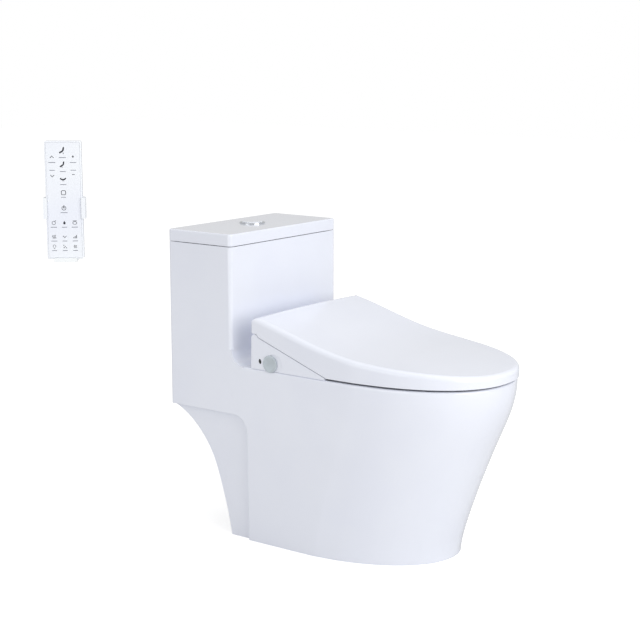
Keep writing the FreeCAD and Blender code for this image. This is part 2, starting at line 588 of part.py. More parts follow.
def fill_valve_body():
    shank_z = TANK_FLOOR_Z - SHANK_LENGTH
    bore = FILL_TUBE_RADIUS - SHANK_WALL
    shank = ring(FILL_X, TANK_MID_Y, shank_z, Z_AXIS, FILL_TUBE_RADIUS, bore, SHANK_LENGTH + 4)
    thread = ring(FILL_X, TANK_MID_Y, shank_z, Z_AXIS, THREAD_RADIUS, bore, THREAD_LENGTH)
    flange = ring(FILL_X, TANK_MID_Y, TANK_FLOOR_Z, Z_AXIS, FILL_HOLE_RADIUS + 8, bore, 5)
    tube = ring(FILL_X, TANK_MID_Y, TANK_FLOOR_Z + 4, Z_AXIS, FILL_TUBE_RADIUS, FILL_TUBE_RADIUS - 2,
                FILL_TOP_Z - TANK_FLOOR_Z - 6)
    head = rod(FILL_X, TANK_MID_Y, FILL_TOP_Z - 10, Z_AXIS, FLOAT_RADIUS, 14)
    head = head.cut(box(FILL_X - FLOAT_RADIUS, FILL_X + FLOAT_RADIUS, TANK_MID_Y - FLOAT_RADIUS - 1,
                        TANK_MID_Y - FLOAT_RADIUS + 7, FILL_TOP_Z - 11, FILL_TOP_Z + 5))
    ears = [box(FILL_X - 6.5, FILL_X - 3.5, TANK_MID_Y - FLOAT_RADIUS - 2, TANK_MID_Y - FLOAT_RADIUS + 8,
                FILL_TOP_Z - 10, FILL_TOP_Z),
            box(FILL_X + 3.5, FILL_X + 6.5, TANK_MID_Y - FLOAT_RADIUS - 2, TANK_MID_Y - FLOAT_RADIUS + 8,
                FILL_TOP_Z - 10, FILL_TOP_Z)]
    pin = rod(FILL_X - 6.5, TANK_MID_Y - FLOAT_RADIUS + 1, LEVER_Z, X_AXIS, 1.5, 13)
    spout = ring(FILL_X - 34, REFILL_Y, FILL_TOP_Z - 4, X_AXIS, 3.0, 1.8, 34 - 10)
    return joined([shank, thread, flange, tube, head, pin, spout] + ears)


def fill_valve_nut():
    z1 = DECK_UNDER_Z
    body = rod(FILL_X, TANK_MID_Y, z1 - 9, Z_AXIS, 17, 9)
    corners = [(17 * math.cos(math.pi * i / 3), 17 * math.sin(math.pi * i / 3)) for i in range(7)]
    flats = Part.makePolygon([vec(FILL_X + x, TANK_MID_Y + y, z1 - 9) for x, y in corners])
    nut = Part.Face(flats).extrude(vec(0, 0, 9)).common(body)
    return nut.cut(rod(FILL_X, TANK_MID_Y, z1 - 10, Z_AXIS, FILL_TUBE_RADIUS, 12))


def fill_valve_float():
    z1 = FILL_TOP_Z - 24 - FLOAT_RISE
    return ring(FILL_X, TANK_MID_Y, z1 - FLOAT_HEIGHT, Z_AXIS, FLOAT_RADIUS, FILL_TUBE_RADIUS + 1,
                FLOAT_HEIGHT)


def fill_valve_lever():
    y = TANK_MID_Y - FLOAT_RADIUS + 1
    hub = rod(FILL_X - 2.8, y, LEVER_Z, X_AXIS, 3.2, 5.6)
    arm = box(FILL_X - 2.8, FILL_X + 2.8, y - 16, y, LEVER_Z - 2, LEVER_Z + 2)
    return hub.fuse(arm).cut(rod(FILL_X - 4, y, LEVER_Z, X_AXIS, 1.5 + PIN_FIT, 8)).removeSplitter()


def refill_tube():
    """Soft tube pushed on the fill valve's spout, ending over the overflow pipe."""
    end_x = FILL_X - 26
    return ring(2.0, REFILL_Y, FILL_TOP_Z - 4, X_AXIS, 4.6, 3.0, end_x - 2.0)


# ---- floor fixings ------------------------------------------------------------------------------
BRACKET_X = 120.0
BRACKET_Y = 20.0


def outlet_seal():
    return ring(0, 0, 0, Z_AXIS, HORN_RADIUS + 9, HORN_RADIUS, 14)


def inner_wall_x(z):
    """Inner face of the skirt near the brackets."""
    half = FLOOR_HALF_WIDTH + (HALF_WIDTH - FLOOR_HALF_WIDTH) * z / 260
    return half - CERAMIC_WALL


def floor_brackets():
    """Angle brackets screwed to the floor inside the skirt, one on each side."""
    parts = []
    for side in (-1, 1):
        far = side * (inner_wall_x(0) - PART_GAP - 0.5)
        near = side * (abs(far) - 40)
        x0, x1 = sorted((near, far))
        foot = box(x0, x1, BRACKET_Y - 20, BRACKET_Y + 20, 0, 5)
        w0, w1 = sorted((far - side * 5, far))
        wall = box(w0, w1, BRACKET_Y - 20, BRACKET_Y + 20, 0, 48)
        part = foot.fuse(wall).removeSplitter()
        hole_x = (near + far) / 2 - side * 2
        parts.append(part.cut(rod(hole_x, BRACKET_Y, -1, Z_AXIS, 3.2, 8)))
    return Part.makeCompound(parts)


def bracket_screws():
    parts = []
    for side in (-1, 1):
        far = side * (inner_wall_x(0) - PART_GAP - 0.5)
        hole_x = (side * (abs(far) - 40) + far) / 2 - side * 2
        head = rod(hole_x, BRACKET_Y, 5, Z_AXIS, 6.0, 3.5)
        shank = rod(hole_x, BRACKET_Y, 0, Z_AXIS, 3.0, 6)
        parts.append(head.fuse(shank).removeSplitter())
    return Part.makeCompound(parts)


# ---- seat unit: fixing to the ceramic -------------------------------------------------------------
BASE_PLATE_THICKNESS = 2.4
BASE_PLATE_HALF_WIDTH = 104.0
BASE_PLATE_FRONT_Y = -14.0
BASE_PLATE_REAR_Y = 46.0
BOLT_RADIUS = 4.0
BOLT_HEAD_RADIUS = 8.0
BOLT_HEAD_HEIGHT = 2.0
BOLT_REACH = 22.0           # bolts below the deck
BUSHING_LENGTH = 12.0
FLOOR_Z = RIM_Z + 5.0       # underside of the lower case
FLOOR_THICKNESS = 2.0
UNIT_GAP = 0.5              # cheeks and ribs above the ceramic
CHEEK_INSIDE = HALF_WIDTH - CHEEK_WIDTH
HOOD_HALF_WIDTH = 146.0
LID_LINE_GAP = 1.6          # seam between the cheeks and the lid


def base_plate():
    """Stamped plate on the deck that the whole seat unit slides on to."""
    plate = box(-BASE_PLATE_HALF_WIDTH, BASE_PLATE_HALF_WIDTH, BASE_PLATE_FRONT_Y, BASE_PLATE_REAR_Y,
                RIM_Z, RIM_Z + BASE_PLATE_THICKNESS)
    for side in (-1, 1):
        slot = box(side * MOUNT_HOLE_X - BOLT_RADIUS - 0.2, side * MOUNT_HOLE_X + BOLT_RADIUS + 0.2,
                   MOUNT_HOLE_Y - 6, MOUNT_HOLE_Y + 6, RIM_Z - 1, RIM_Z + 10)
        plate = plate.cut(slot)
    return plate.cut(box(-34, 34, BASE_PLATE_FRONT_Y - 1, BASE_PLATE_FRONT_Y + 26, RIM_Z - 1, RIM_Z + 10))


def mount_bolts():
    parts = []
    for side in (-1, 1):
        x = side * MOUNT_HOLE_X
        head_z = RIM_Z + BASE_PLATE_THICKNESS
        foot_z = DECK_UNDER_Z - BOLT_REACH
        head = rod(x, MOUNT_HOLE_Y, head_z, Z_AXIS, BOLT_HEAD_RADIUS, BOLT_HEAD_HEIGHT)
        shank = rod(x, MOUNT_HOLE_Y, foot_z, Z_AXIS, BOLT_RADIUS, head_z - foot_z)
        parts.append(head.fuse(shank).removeSplitter())
    return Part.makeCompound(parts)


def mount_bushings():
    """Rubber expanding sleeves in the deck holes, drawn up against its underside."""
    parts = []
    for side in (-1, 1):
        x = side * MOUNT_HOLE_X
        sleeve = ring(x, MOUNT_HOLE_Y, DECK_UNDER_Z - 1, Z_AXIS, MOUNT_HOLE_RADIUS, BOLT_RADIUS,
                      DECK_THICKNESS + 1)
        bulge = ring(x, MOUNT_HOLE_Y, DECK_UNDER_Z - BUSHING_LENGTH, Z_AXIS, MOUNT_HOLE_RADIUS + 4,
                     BOLT_RADIUS, BUSHING_LENGTH)
        parts.append(sleeve.fuse(bulge).removeSplitter())
    return Part.makeCompound(parts)


# ---- seat unit: cases ---------------------------------------------------------------------------
HOOD_FRONT_TOP_Z = 438.0
HOOD_FLAT_TOP_Z = HINGE_Z + HINGE_ROUND
CHANNEL_REAR_Z = 451.0
PLATE_WAY_GAP = 1.0         # rear wall of the case beside the base plate that it slides over
CHANNEL_FRONT_Z = RIM_Z + 8.0
DIAL_Y = 1.0
DIAL_Z = 418.5
DIAL_RADIUS = 19.0          # cap, in front of the cheek and the rim's edge
DIAL_CAP = 1.6
DIAL_BODY_RADIUS = 14.8     # part of the dial let into the cheek
DIAL_THICKNESS = 5.0        # of that part
SCOOP_RADIUS = 21.0
SCOOP_OFFSET = -11.0
SCOOP_DEPTH = 1.6
WINDOW_Y = 29.0
WINDOW_Z = 421.0
WINDOW_LONG = 11.0
WINDOW_SHORT = 7.2
WINDOW_DEPTH = 3.0
WINDOW_TILT = 12.0
RELEASE_Y = 8.0
RELEASE_Z = 422.0
RELEASE_LONG = 20.0
RELEASE_HIGH = 11.0


def lid_line_z(y):
    """Height of the lid's lower edge beside the seat unit."""
    return LID_LINE_REAR_Z - LID_LINE_SLOPE * (HINGE_Y + 5 - y)


def hood_outline(x, shrink, low_z):
    """Side view of the raised middle of the seat unit, rounded about the hinge line at the rear."""
    r = HINGE_ROUND - shrink
    rear = HINGE_Y + r
    slope_top = (-24.0, HOOD_FLAT_TOP_Z - shrink)
    slope_low = (UNIT_FRONT_Y + shrink, HOOD_FRONT_TOP_Z - shrink * 0.4)
    mid = ((slope_top[0] + slope_low[0]) / 2 - 6, (slope_top[1] + slope_low[1]) / 2 + 7)
    turn = math.pi / 4
    return Part.Wire([
        Part.makeLine(vec(x, UNIT_REAR_Y - shrink, low_z), vec(x, rear, HINGE_Z - 6)),
        Part.Arc(vec(x, rear, HINGE_Z - 6),
                 vec(x, HINGE_Y + r * math.cos(turn), HINGE_Z + r * math.sin(turn)),
                 vec(x, HINGE_Y, HINGE_Z + r)).toShape(),
        Part.makeLine(vec(x, HINGE_Y, HINGE_Z + r), vec(x, slope_top[0], slope_top[1])),
        Part.Arc(vec(x, *slope_top), vec(x, *mid), vec(x, *slope_low)).toShape(),
        Part.makeLine(vec(x, *slope_low), vec(x, slope_low[0], low_z)),
        Part.makeLine(vec(x, slope_low[0], low_z), vec(x, UNIT_REAR_Y - shrink, low_z)),
    ])


def hood_solid(shrink, low_z):
    half = HOOD_HALF_WIDTH - shrink
    return Part.Face(hood_outline(-half, shrink, low_z)).extrude(vec(2 * half, 0, 0))


def cheek_solid(side):
    """Outer side of the unit: its top edge follows the lid's lower edge down to a thin tip in front."""
    low = RIM_Z + UNIT_GAP
    top_y = HINGE_Y + 2.0
    points = [(UNIT_REAR_Y, low), (HINGE_Y + HINGE_ROUND, HINGE_Z), (top_y, lid_line_z(top_y) - LID_LINE_GAP),
              (CHEEK_TIP_Y, lid_line_z(CHEEK_TIP_Y) - LID_LINE_GAP), (CHEEK_TIP_Y, low)]
    x0 = CHEEK_INSIDE if side > 0 else -HALF_WIDTH
    boss = rod(x0, HINGE_Y, HINGE_Z, X_AXIS, HINGE_ROUND, CHEEK_WIDTH)
    return plate_yz(points, x0, x0 + CHEEK_WIDTH).fuse(boss)


def channel_solid(side, drop):
    """Low bridge between hood and cheek, under the hinge arms."""
    x0 = HOOD_HALF_WIDTH - 1 if side > 0 else -CHEEK_INSIDE - 1
    points = [(UNIT_REAR_Y - drop, RIM_Z + UNIT_GAP), (UNIT_REAR_Y - drop, CHANNEL_REAR_Z - drop),
              (UNIT_FRONT_Y + drop, CHANNEL_FRONT_Z - drop), (UNIT_FRONT_Y + drop, RIM_Z + UNIT_GAP)]
    return plate_yz(points, x0, x0 + CHEEK_INSIDE - HOOD_HALF_WIDTH + 2)


def unit_upper_case():
    low = RIM_Z + UNIT_GAP
    shell = hood_solid(0, low)
    for side in (-1, 1):
        shell = shell.fuse([channel_solid(side, 0), cheek_solid(side)])
    inner = hood_solid(CASE_WALL, low - 1)
    tunnel = []
    for side in (-1, 1):
        tunnel.append(channel_solid(side, CASE_WALL).common(
            box(-CHEEK_INSIDE - 0.5, CHEEK_INSIDE + 0.5, UNIT_FRONT_Y, UNIT_REAR_Y, 0, LID_TOP_Z)))
    below = box(-CHEEK_INSIDE, CHEEK_INSIDE, UNIT_FRONT_Y + CASE_WALL, UNIT_REAR_Y - CASE_WALL, low - 1,
                FLOOR_Z + FLOOR_THICKNESS + PART_GAP)
    shell = shell.cut(inner.fuse(tunnel + [below]))
    for side in (-1, 1):
        cheek_x = side * (HALF_WIDTH - 3)
        x0, x1 = sorted((cheek_x, side * (CHEEK_INSIDE - 1)))
        y0, y1 = UNIT_FRONT_Y + 16, UNIT_REAR_Y - 16
        points = [(y0, low + 4), (y0, lid_line_z(y0) - 12), (y1, lid_line_z(y1) - 12), (y1, low + 4)]
        shell = shell.cut(plate_yz(points, x0, x1))
        pin_x = HOOD_HALF_WIDTH - 6 if side > 0 else -HALF_WIDTH + 3
        shell = shell.cut(rod(pin_x, HINGE_Y, HINGE_Z, X_AXIS, PIN_RADIUS, HALF_WIDTH - HOOD_HALF_WIDTH + 3))
    shell = shell.cut(rod(-HALF_WIDTH - 1, DIAL_Y, DIAL_Z, X_AXIS, DIAL_BODY_RADIUS + BODY_GAP,
                          CHEEK_WIDTH + 1))
    shell = shell.cut(filter_bore(SOCKET_WALL + PART_GAP))
    scoop = rod(-HALF_WIDTH, DIAL_Y + SCOOP_OFFSET, DIAL_Z + 1, X_AXIS, SCOOP_RADIUS, SCOOP_DEPTH)
    shell = shell.cut([scoop, indicator_window(), release_solid(BODY_GAP)])
    mouth = box(-WAND_RADIUS - 4, WAND_RADIUS + 4, UNIT_FRONT_Y - 1, UNIT_FRONT_Y + CASE_WALL + 1, low - 1,
                RIM_Z + 26)
    outlet = box(DRYER_X - 17, DRYER_X + 17, UNIT_FRONT_Y - 1, UNIT_FRONT_Y + CASE_WALL + 1, low - 1,
                 RIM_Z + 22)
    fin_way = box(-HOOD_HALF_WIDTH - 1, -HOOD_HALF_WIDTH + CASE_WALL + 1, DIAL_Y - 3 - PART_GAP,
                  DIAL_Y + 3 + PART_GAP, FLOOR_Z, DIAL_Z)
    plate_way = box(-BASE_PLATE_HALF_WIDTH - PLATE_WAY_GAP, BASE_PLATE_HALF_WIDTH + PLATE_WAY_GAP,
                    UNIT_REAR_Y - CASE_WALL - 1, UNIT_REAR_Y + 1, low - 1, FLOOR_Z)
    inlet = rod(INLET_X, UNIT_REAR_Y - 10, INLET_Z, Y_AXIS, INLET_NECK_RADIUS + PORT_FIT, 20)
    gland = rod(GLAND_X, UNIT_REAR_Y - 10, INLET_Z, Y_AXIS, GLAND_RADIUS + PORT_FIT, 20)
    return shell.cut([mouth, outlet, fin_way, plate_way, inlet, gland]).removeSplitter()


def indicator_window():
    """Small black oval set in the left cheek."""
    ellipse = Part.Ellipse(vec(-HALF_WIDTH, WINDOW_Y, WINDOW_Z), WINDOW_LONG / 2, WINDOW_SHORT / 2)
    wire = Part.Wire(ellipse.toShape())
    wire.rotate(vec(-HALF_WIDTH, WINDOW_Y, WINDOW_Z), Y_AXIS, 90)
    wire.rotate(vec(-HALF_WIDTH, WINDOW_Y, WINDOW_Z), X_AXIS, -WINDOW_TILT)
    return Part.Face(wire).extrude(vec(WINDOW_DEPTH, 0, 0))


def release_solid(grow):
    """Push button in the right cheek that frees the unit from its plate."""
    return box(HALF_WIDTH - 4.5 - grow, HALF_WIDTH + 2.6, RELEASE_Y - RELEASE_LONG / 2 - grow,
               RELEASE_Y + RELEASE_LONG / 2 + grow, RELEASE_Z - RELEASE_HIGH / 2 - grow,
               RELEASE_Z + RELEASE_HIGH / 2 + grow)


def release_button():
    cap = release_solid(0.0)
    cap = cap.makeFillet(1.2, [e for e in cap.Edges if abs(e.tangentAt(e.FirstParameter).x) > 0.99])
    flange_x = HALF_WIDTH - 4.5
    return cap.common(box(flange_x, HALF_WIDTH + 2.6, -400, 400, 0, 900))


def unit_lower_case():
    """Floor tray with locating walls, ribs that ride on the deck, and an opening for the wand."""
    x = CHEEK_INSIDE - PART_GAP
    y0 = UNIT_FRONT_Y + CASE_WALL + PART_GAP
    y1 = UNIT_REAR_Y - CASE_WALL - PART_GAP
    floor = box(-x, x, y0, y1, FLOOR_Z, FLOOR_Z + FLOOR_THICKNESS)
    mouth = box(-WAND_RADIUS - 5, WAND_RADIUS + 5, y0 - 1, -28, FLOOR_Z - 1, FLOOR_Z + 30)
    parts = [floor]
    for side in (-1, 1):
        for rib_y in (y0, -26.0, 18.0):
            rx0, rx1 = sorted((side * 112, side * (x - 8)))
            parts.append(box(rx0, rx1, rib_y, rib_y + 3, RIM_Z + UNIT_GAP, FLOOR_Z + 1))
        bx0, bx1 = sorted((side * (HOOD_HALF_WIDTH - 12), side * (HOOD_HALF_WIDTH - 4)))
        for boss_y in (-52.0, 30.0):
            parts.append(box(bx0, bx1, boss_y, boss_y + 8, FLOOR_Z, FLOOR_Z + 14))
    socket_x = -CHEEK_INSIDE + PART_GAP
    socket = rod(socket_x, DIAL_Y, DIAL_Z, X_AXIS, FILTER_RADIUS + BODY_GAP + SOCKET_WALL, FILTER_LENGTH)
    parts.append(socket)
    parts.append(box(socket_x + 4, socket_x + FILTER_LENGTH, DIAL_Y - 3, DIAL_Y + 3, FLOOR_Z, DIAL_Z))
    tray = joined(parts).cut([mouth, filter_bore(0.0)])
    for side in (-1, 1):
        for boss_y in (-48.0, 34.0):
            tray = tray.cut(rod(side * (HOOD_HALF_WIDTH - 8), boss_y, FLOOR_Z - 1, Z_AXIS, SCREW_RADIUS, 30))
    return tray.removeSplitter()


SCREW_RADIUS = 1.6
SOCKET_WALL = 1.8


def case_screws():
    """Four screws up through the lower case."""
    parts = []
    for side in (-1, 1):
        for boss_y in (-48.0, 34.0):
            x = side * (HOOD_HALF_WIDTH - 8)
            head = rod(x, boss_y, FLOOR_Z - 2.2, Z_AXIS, 3.2, 2.2)
            shank = rod(x, boss_y, FLOOR_Z - 1, Z_AXIS, SCREW_RADIUS, 15)
            parts.append(head.fuse(shank).removeSplitter())
    return Part.makeCompound(parts)


# ---- seat unit: works ---------------------------------------------------------------------------
WORKS_Z = FLOOR_Z + FLOOR_THICKNESS
HEATER_X = 84.0
DRYER_X = -62.0
FAN_RADIUS = 24.0
ODOUR_X = -112.0
SOLENOID_X = -118.0
SOLENOID_Y = -26.0
WAND_TIP_Y = -70.0
WAND_TIP_Z = RIM_Z + 10.5
PINION_PLACE = 22.0         # pinion behind the wand's tip, along the wand
PINION_PITCH_RADIUS = 6.0
PINION_TEETH = 12
TOOTH_PITCH = 2 * math.pi * PINION_PITCH_RADIUS / PINION_TEETH
TOOTH_HEIGHT = 1.7
RACK_BASE = 8.6             # rack's root line above the wand's middle
RACK_HALF_WIDTH = 3.0
RACK_PITCH = RACK_BASE + TOOTH_HEIGHT / 2


def on_wand_line(shape):
    """Move a shape built along +Y from the wand's tip on to the wand's slanted line."""
    placed = shape.copy()
    placed.rotate(vec(0, 0, 0), X_AXIS, WAND_SLOPE)
    placed.translate(vec(WAND_X, WAND_TIP_Y, WAND_TIP_Z))
    return placed


def wand():
    """Spray wand: round tube, nose with spray holes, and a toothed rack along its top."""
    tube = rod(0, 0, 0, Y_AXIS, WAND_RADIUS, WAND_LENGTH)
    tube = tube.makeFillet(2.0, [e for e in tube.Edges if e.BoundBox.YMax < 0.01])
    tube = tube.cut(rod(0, 8, 0, Y_AXIS, WAND_RADIUS - 4, WAND_LENGTH))
    for y in (8.0, 12.0):
        for x in (-2.2, 0.0, 2.2):
            tube = tube.cut(rod(x, y, 0, Z_AXIS, 0.6, WAND_RADIUS + 1))
    strip = box(-RACK_HALF_WIDTH, RACK_HALF_WIDTH, 16, WAND_LENGTH, WAND_RADIUS - 2, RACK_BASE)
    first = PINION_PLACE + TOOTH_PITCH / 2
    count = int((WAND_LENGTH - first - TOOTH_PITCH) / TOOTH_PITCH)
    teeth = []
    half = TOOTH_PITCH * 0.22
    for i in range(count):
        y = first + i * TOOTH_PITCH
        x = -RACK_HALF_WIDTH
        face = Part.Face(polygon([(x, y - half, RACK_BASE - 0.4), (x, y + half, RACK_BASE - 0.4),
                                  (x, y + half * 0.5, RACK_BASE + TOOTH_HEIGHT),
                                  (x, y - half * 0.5, RACK_BASE + TOOTH_HEIGHT)]))
        teeth.append(face.extrude(vec(2 * RACK_HALF_WIDTH, 0, 0)))
    return on_wand_line(joined([tube, strip] + teeth))


def wand_pinion():
    """Small drive gear, in mesh with the rack at rest."""
    root = PINION_PITCH_RADIUS - TOOTH_HEIGHT / 2 - 0.25
    gear = rod(-2.6, 0, 0, X_AXIS, root, 5.2)
    half = TOOTH_PITCH * 0.2
    teeth = []
    for i in range(PINION_TEETH):
        face = Part.Face(polygon([(-2.6, -half, root - 0.5), (-2.6, half, root - 0.5),
                                  (-2.6, half * 0.5, PINION_PITCH_RADIUS + TOOTH_HEIGHT / 2 - 0.2),
                                  (-2.6, -half * 0.5, PINION_PITCH_RADIUS + TOOTH_HEIGHT / 2 - 0.2)]))
        tooth = face.extrude(vec(5.2, 0, 0))
        tooth.rotate(vec(0, 0, 0), X_AXIS, i * 360.0 / PINION_TEETH)
        teeth.append(tooth)
    gear = joined([gear] + teeth).cut(rod(-4, 0, 0, X_AXIS, 1.5 + PIN_FIT, 10))
    gear.translate(vec(0, PINION_PLACE, RACK_PITCH + PINION_PITCH_RADIUS))
    return on_wand_line(gear)


def wand_motor():
    """Geared motor beside the pinion, with its shaft through the pinion."""
    z = RACK_PITCH + PINION_PITCH_RADIUS
    body = rod(WAND_RADIUS + 5.5, PINION_PLACE, z, X_AXIS, 8.5, 17)
    shaft = rod(-3.5, PINION_PLACE, z, X_AXIS, 1.5, WAND_RADIUS + 10)
    ear = box(WAND_RADIUS + 5.5, WAND_RADIUS + 7.5, PINION_PLACE - 11, PINION_PLACE + 11, z - 4, z + 4)
    return on_wand_line(joined([body, shaft, ear]))


def wand_guide():
    """Slotted sleeve that the wand runs in, with a side plate that carries the motor."""
    y0, y1 = 8.0, 66.0
    block = box(-WAND_RADIUS - 3, WAND_RADIUS + 3, y0, y1, -WAND_RADIUS - 2, WAND_RADIUS - 3)
    plate = box(WAND_RADIUS + 1, WAND_RADIUS + 5, y0 + 3, y1, -WAND_RADIUS - 2,
                RACK_PITCH + PINION_PITCH_RADIUS + 6)
    pocket = rod(WAND_RADIUS, PINION_PLACE, RACK_PITCH + PINION_PITCH_RADIUS, X_AXIS, 3, 8)
    sleeve = on_wand_line(block.fuse(plate).cut(pocket))
    legs = []
    for x in (-WAND_RADIUS - 3, WAND_RADIUS + 1):
        legs.append(box(x, x + 2, -26, -16, WORKS_Z, WAND_TIP_Z + 16))
    whole = joined([sleeve] + legs)
    bore = on_wand_line(rod(0, -20, 0, Y_AXIS, WAND_RADIUS + BODY_GAP, WAND_LENGTH + 60))
    slot = on_wand_line(box(-3 - BODY_GAP, 3 + BODY_GAP, -20, WAND_LENGTH, 0, RACK_BASE + TOOTH_HEIGHT + 1))
    return whole.cut([bore, slot]).removeSplitter()


def water_heater():
    """Instant heater: flat tank with inlet and outlet pipes and a rib pattern."""
    tank = rounded_box(HEATER_X - 36, HEATER_X + 36, -34, 26, WORKS_Z, WORKS_Z + 34, 5)
    ribs = []
    for i in range(6):
        rib_x = HEATER_X - 32 + 12 * i
        ribs.append(box(rib_x, rib_x + 3, -30, 22, WORKS_Z + 33, WORKS_Z + 35.5))
    pipes = [rod(HEATER_X - 34, y, WORKS_Z + 12, X_AXIS * -1, 3.5, 12) for y in (-18, 8)]
    return joined([tank] + ribs + pipes)


def flow_valve():
    body = rounded_box(34, 34 + 12 - PART_GAP, -12, 18, WORKS_Z + 20, WORKS_Z + 44, 2)
    foot = box(36, 44, -9, 1, WORKS_Z, WORKS_Z + 21)
    return body.fuse(foot).removeSplitter()


def solenoid_valve():
    base = rounded_box(SOLENOID_X - 12, SOLENOID_X + 12, SOLENOID_Y - 12, SOLENOID_Y + 12, WORKS_Z,
                       WORKS_Z + 18, 3)
    coil = rod(SOLENOID_X, SOLENOID_Y, WORKS_Z + 17, Z_AXIS, 9, 22)
    return base.fuse(coil).removeSplitter()


INLET_X = -118.0
GLAND_X = 118.0
INLET_Z = RIM_Z + 22.0
INLET_RADIUS = 6.58         # G 1/4
INLET_PROUD = 9.0
INLET_NECK = 1.0            # plain neck between the wall and the thread
INLET_NECK_RADIUS = 5.9
INLET_INSIDE = 20.0
INLET_BORE_RADIUS = 4.0
GLAND_RADIUS = 5.5
GLAND_PROUD = 8.0
GLAND_INSIDE = 12.0
CORD_RADIUS = 3.4
CORD_DEPTH = 7.5
COLLAR_THICKNESS = 3.0
COLLAR_GAP = 0.8            # collars inside the rear wall
PORT_FIT = 0.1


def water_inlet_port():
    """Water inlet with an outside thread that stands out of the rear wall."""
    pipe = ring(INLET_X, UNIT_REAR_Y - INLET_INSIDE, INLET_Z, Y_AXIS, INLET_NECK_RADIUS, INLET_BORE_RADIUS,
                INLET_INSIDE + INLET_PROUD)
    thread = ring(INLET_X, UNIT_REAR_Y + INLET_NECK, INLET_Z, Y_AXIS, INLET_RADIUS, INLET_BORE_RADIUS,
                  INLET_PROUD - INLET_NECK)
    collar_y = UNIT_REAR_Y - CASE_WALL - COLLAR_GAP - COLLAR_THICKNESS
    collar = ring(INLET_X, collar_y, INLET_Z, Y_AXIS, INLET_RADIUS + 3, INLET_BORE_RADIUS, COLLAR_THICKNESS)
    return joined([pipe, thread, collar])


def cord_gland():
    """Strain relief of the mains cord; its hole ends inside the gland."""
    body = rod(GLAND_X, UNIT_REAR_Y - GLAND_INSIDE, INLET_Z, Y_AXIS, GLAND_RADIUS, GLAND_INSIDE + GLAND_PROUD)
    collar_y = UNIT_REAR_Y - CASE_WALL - COLLAR_GAP - COLLAR_THICKNESS
    collar = rod(GLAND_X, collar_y, INLET_Z, Y_AXIS, GLAND_RADIUS + 2.5, COLLAR_THICKNESS)
    hole = rod(GLAND_X, UNIT_REAR_Y + GLAND_PROUD - CORD_DEPTH, INLET_Z, Y_AXIS, CORD_RADIUS, CORD_DEPTH + 1)
    return body.fuse(collar).cut(hole).removeSplitter()


def dryer_housing():
    """Flat blower housing with a duct to the front, open where the air leaves."""
    mid_y = 16.0
    height = 30.0
    shell = rod(DRYER_X, mid_y, WORKS_Z, Z_AXIS, FAN_RADIUS + 4, height)
    duct = box(DRYER_X - 15, DRYER_X + 15, UNIT_FRONT_Y + CASE_WALL + PART_GAP, mid_y, WORKS_Z, WORKS_Z + 18)
    hollow = rod(DRYER_X, mid_y, WORKS_Z + 2, Z_AXIS, FAN_RADIUS + 2, height - 4)
    way = box(DRYER_X - 13, DRYER_X + 13, UNIT_FRONT_Y, mid_y, WORKS_Z + 2, WORKS_Z + 16)
    eye = rod(DRYER_X, mid_y, WORKS_Z + height - 3, Z_AXIS, FAN_RADIUS * 0.6, 6)
    hub = rod(DRYER_X, mid_y, WORKS_Z, Z_AXIS, 2.0, 22)
    body = shell.fuse(duct).cut(hollow.fuse([way, eye]))
    return body.fuse(hub).removeSplitter()


def impeller(x, y, z, radius, height, blades):
    """Centrifugal fan wheel on a fixed spindle."""
    plate = rod(x, y, z, Z_AXIS, radius, 1.6)
    hub = rod(x, y, z, Z_AXIS, 4.5, height)
    parts = [plate, hub]
    for i in range(blades):
        blade = box(x + radius * 0.62, x + radius, y - 0.6, y + 0.6, z, z + height)
        blade.rotate(vec(x, y, z), Z_AXIS, i * 360.0 / blades)
        parts.append(blade)
    return joined(parts).cut(rod(x, y, z - 1, Z_AXIS, 2.0 + PIN_FIT, height + 2))


def dryer_impeller():
    return impeller(DRYER_X, 16.0, WORKS_Z + 3.0, FAN_RADIUS, 18.0, 16)


ODOUR_RADIUS = 13.0
ODOUR_Y = 12.0


def deodoriser_housing():
    shell = rod(ODOUR_X, ODOUR_Y, WORKS_Z, Z_AXIS, ODOUR_RADIUS + 4, 22)
    hollow = rod(ODOUR_X, ODOUR_Y, WORKS_Z + 2, Z_AXIS, ODOUR_RADIUS + 1.5, 21)
    spindle = rod(ODOUR_X, ODOUR_Y, WORKS_Z, Z_AXIS, 2.0, 18)
    return shell.cut(hollow).fuse(spindle).removeSplitter()


def deodoriser_impeller():
    return impeller(ODOUR_X, ODOUR_Y, WORKS_Z + 3.0, ODOUR_RADIUS, 12.0, 10)


def circuit_board():
    """Control board on four posts, with capacitors, relays and a connector."""
    z = WORKS_Z + 46.0
    board = box(38, 138, -30, 30, z, z + 1.6)
    bits = [rod(52 + 14 * i, 18, z, Z_AXIS, 4, 11) for i in range(3)]
    bits += [box(60 + 22 * i, 74 + 22 * i, -20, -6, z + 1, z + 11) for i in range(3)]
    bits.append(box(42, 52, -26, -2, z + 1, z + 8))
    posts = [rod(x, y, WORKS_Z, Z_AXIS, 2.2, z - WORKS_Z) for x in (126, 134) for y in (-26, 26)]
    return joined([board] + bits + posts)


def damper(side):
    """Rotary soft-close damper in the hood, on the hinge line."""
    x0 = HOOD_HALF_WIDTH - 46 if side > 0 else -HOOD_HALF_WIDTH + 6
    return rod(x0, HINGE_Y, HINGE_Z, X_AXIS, HINGE_ROUND - CASE_WALL - 0.4, 40)


def hinge_pins():
    parts = []
    for side in (-1, 1):
        x0 = HOOD_HALF_WIDTH - 6 if side > 0 else -HALF_WIDTH + 3
        parts.append(rod(x0, HINGE_Y, HINGE_Z, X_AXIS, PIN_RADIUS, HALF_WIDTH - HOOD_HALF_WIDTH + 3))
    return Part.makeCompound(parts)


FILTER_RADIUS = 9.0
FILTER_LENGTH = 52.0
DIAL_HUB_RADIUS = 4.0
DIAL_HUB_PLUG = 2.0         # how far the dial's hub goes into the filter


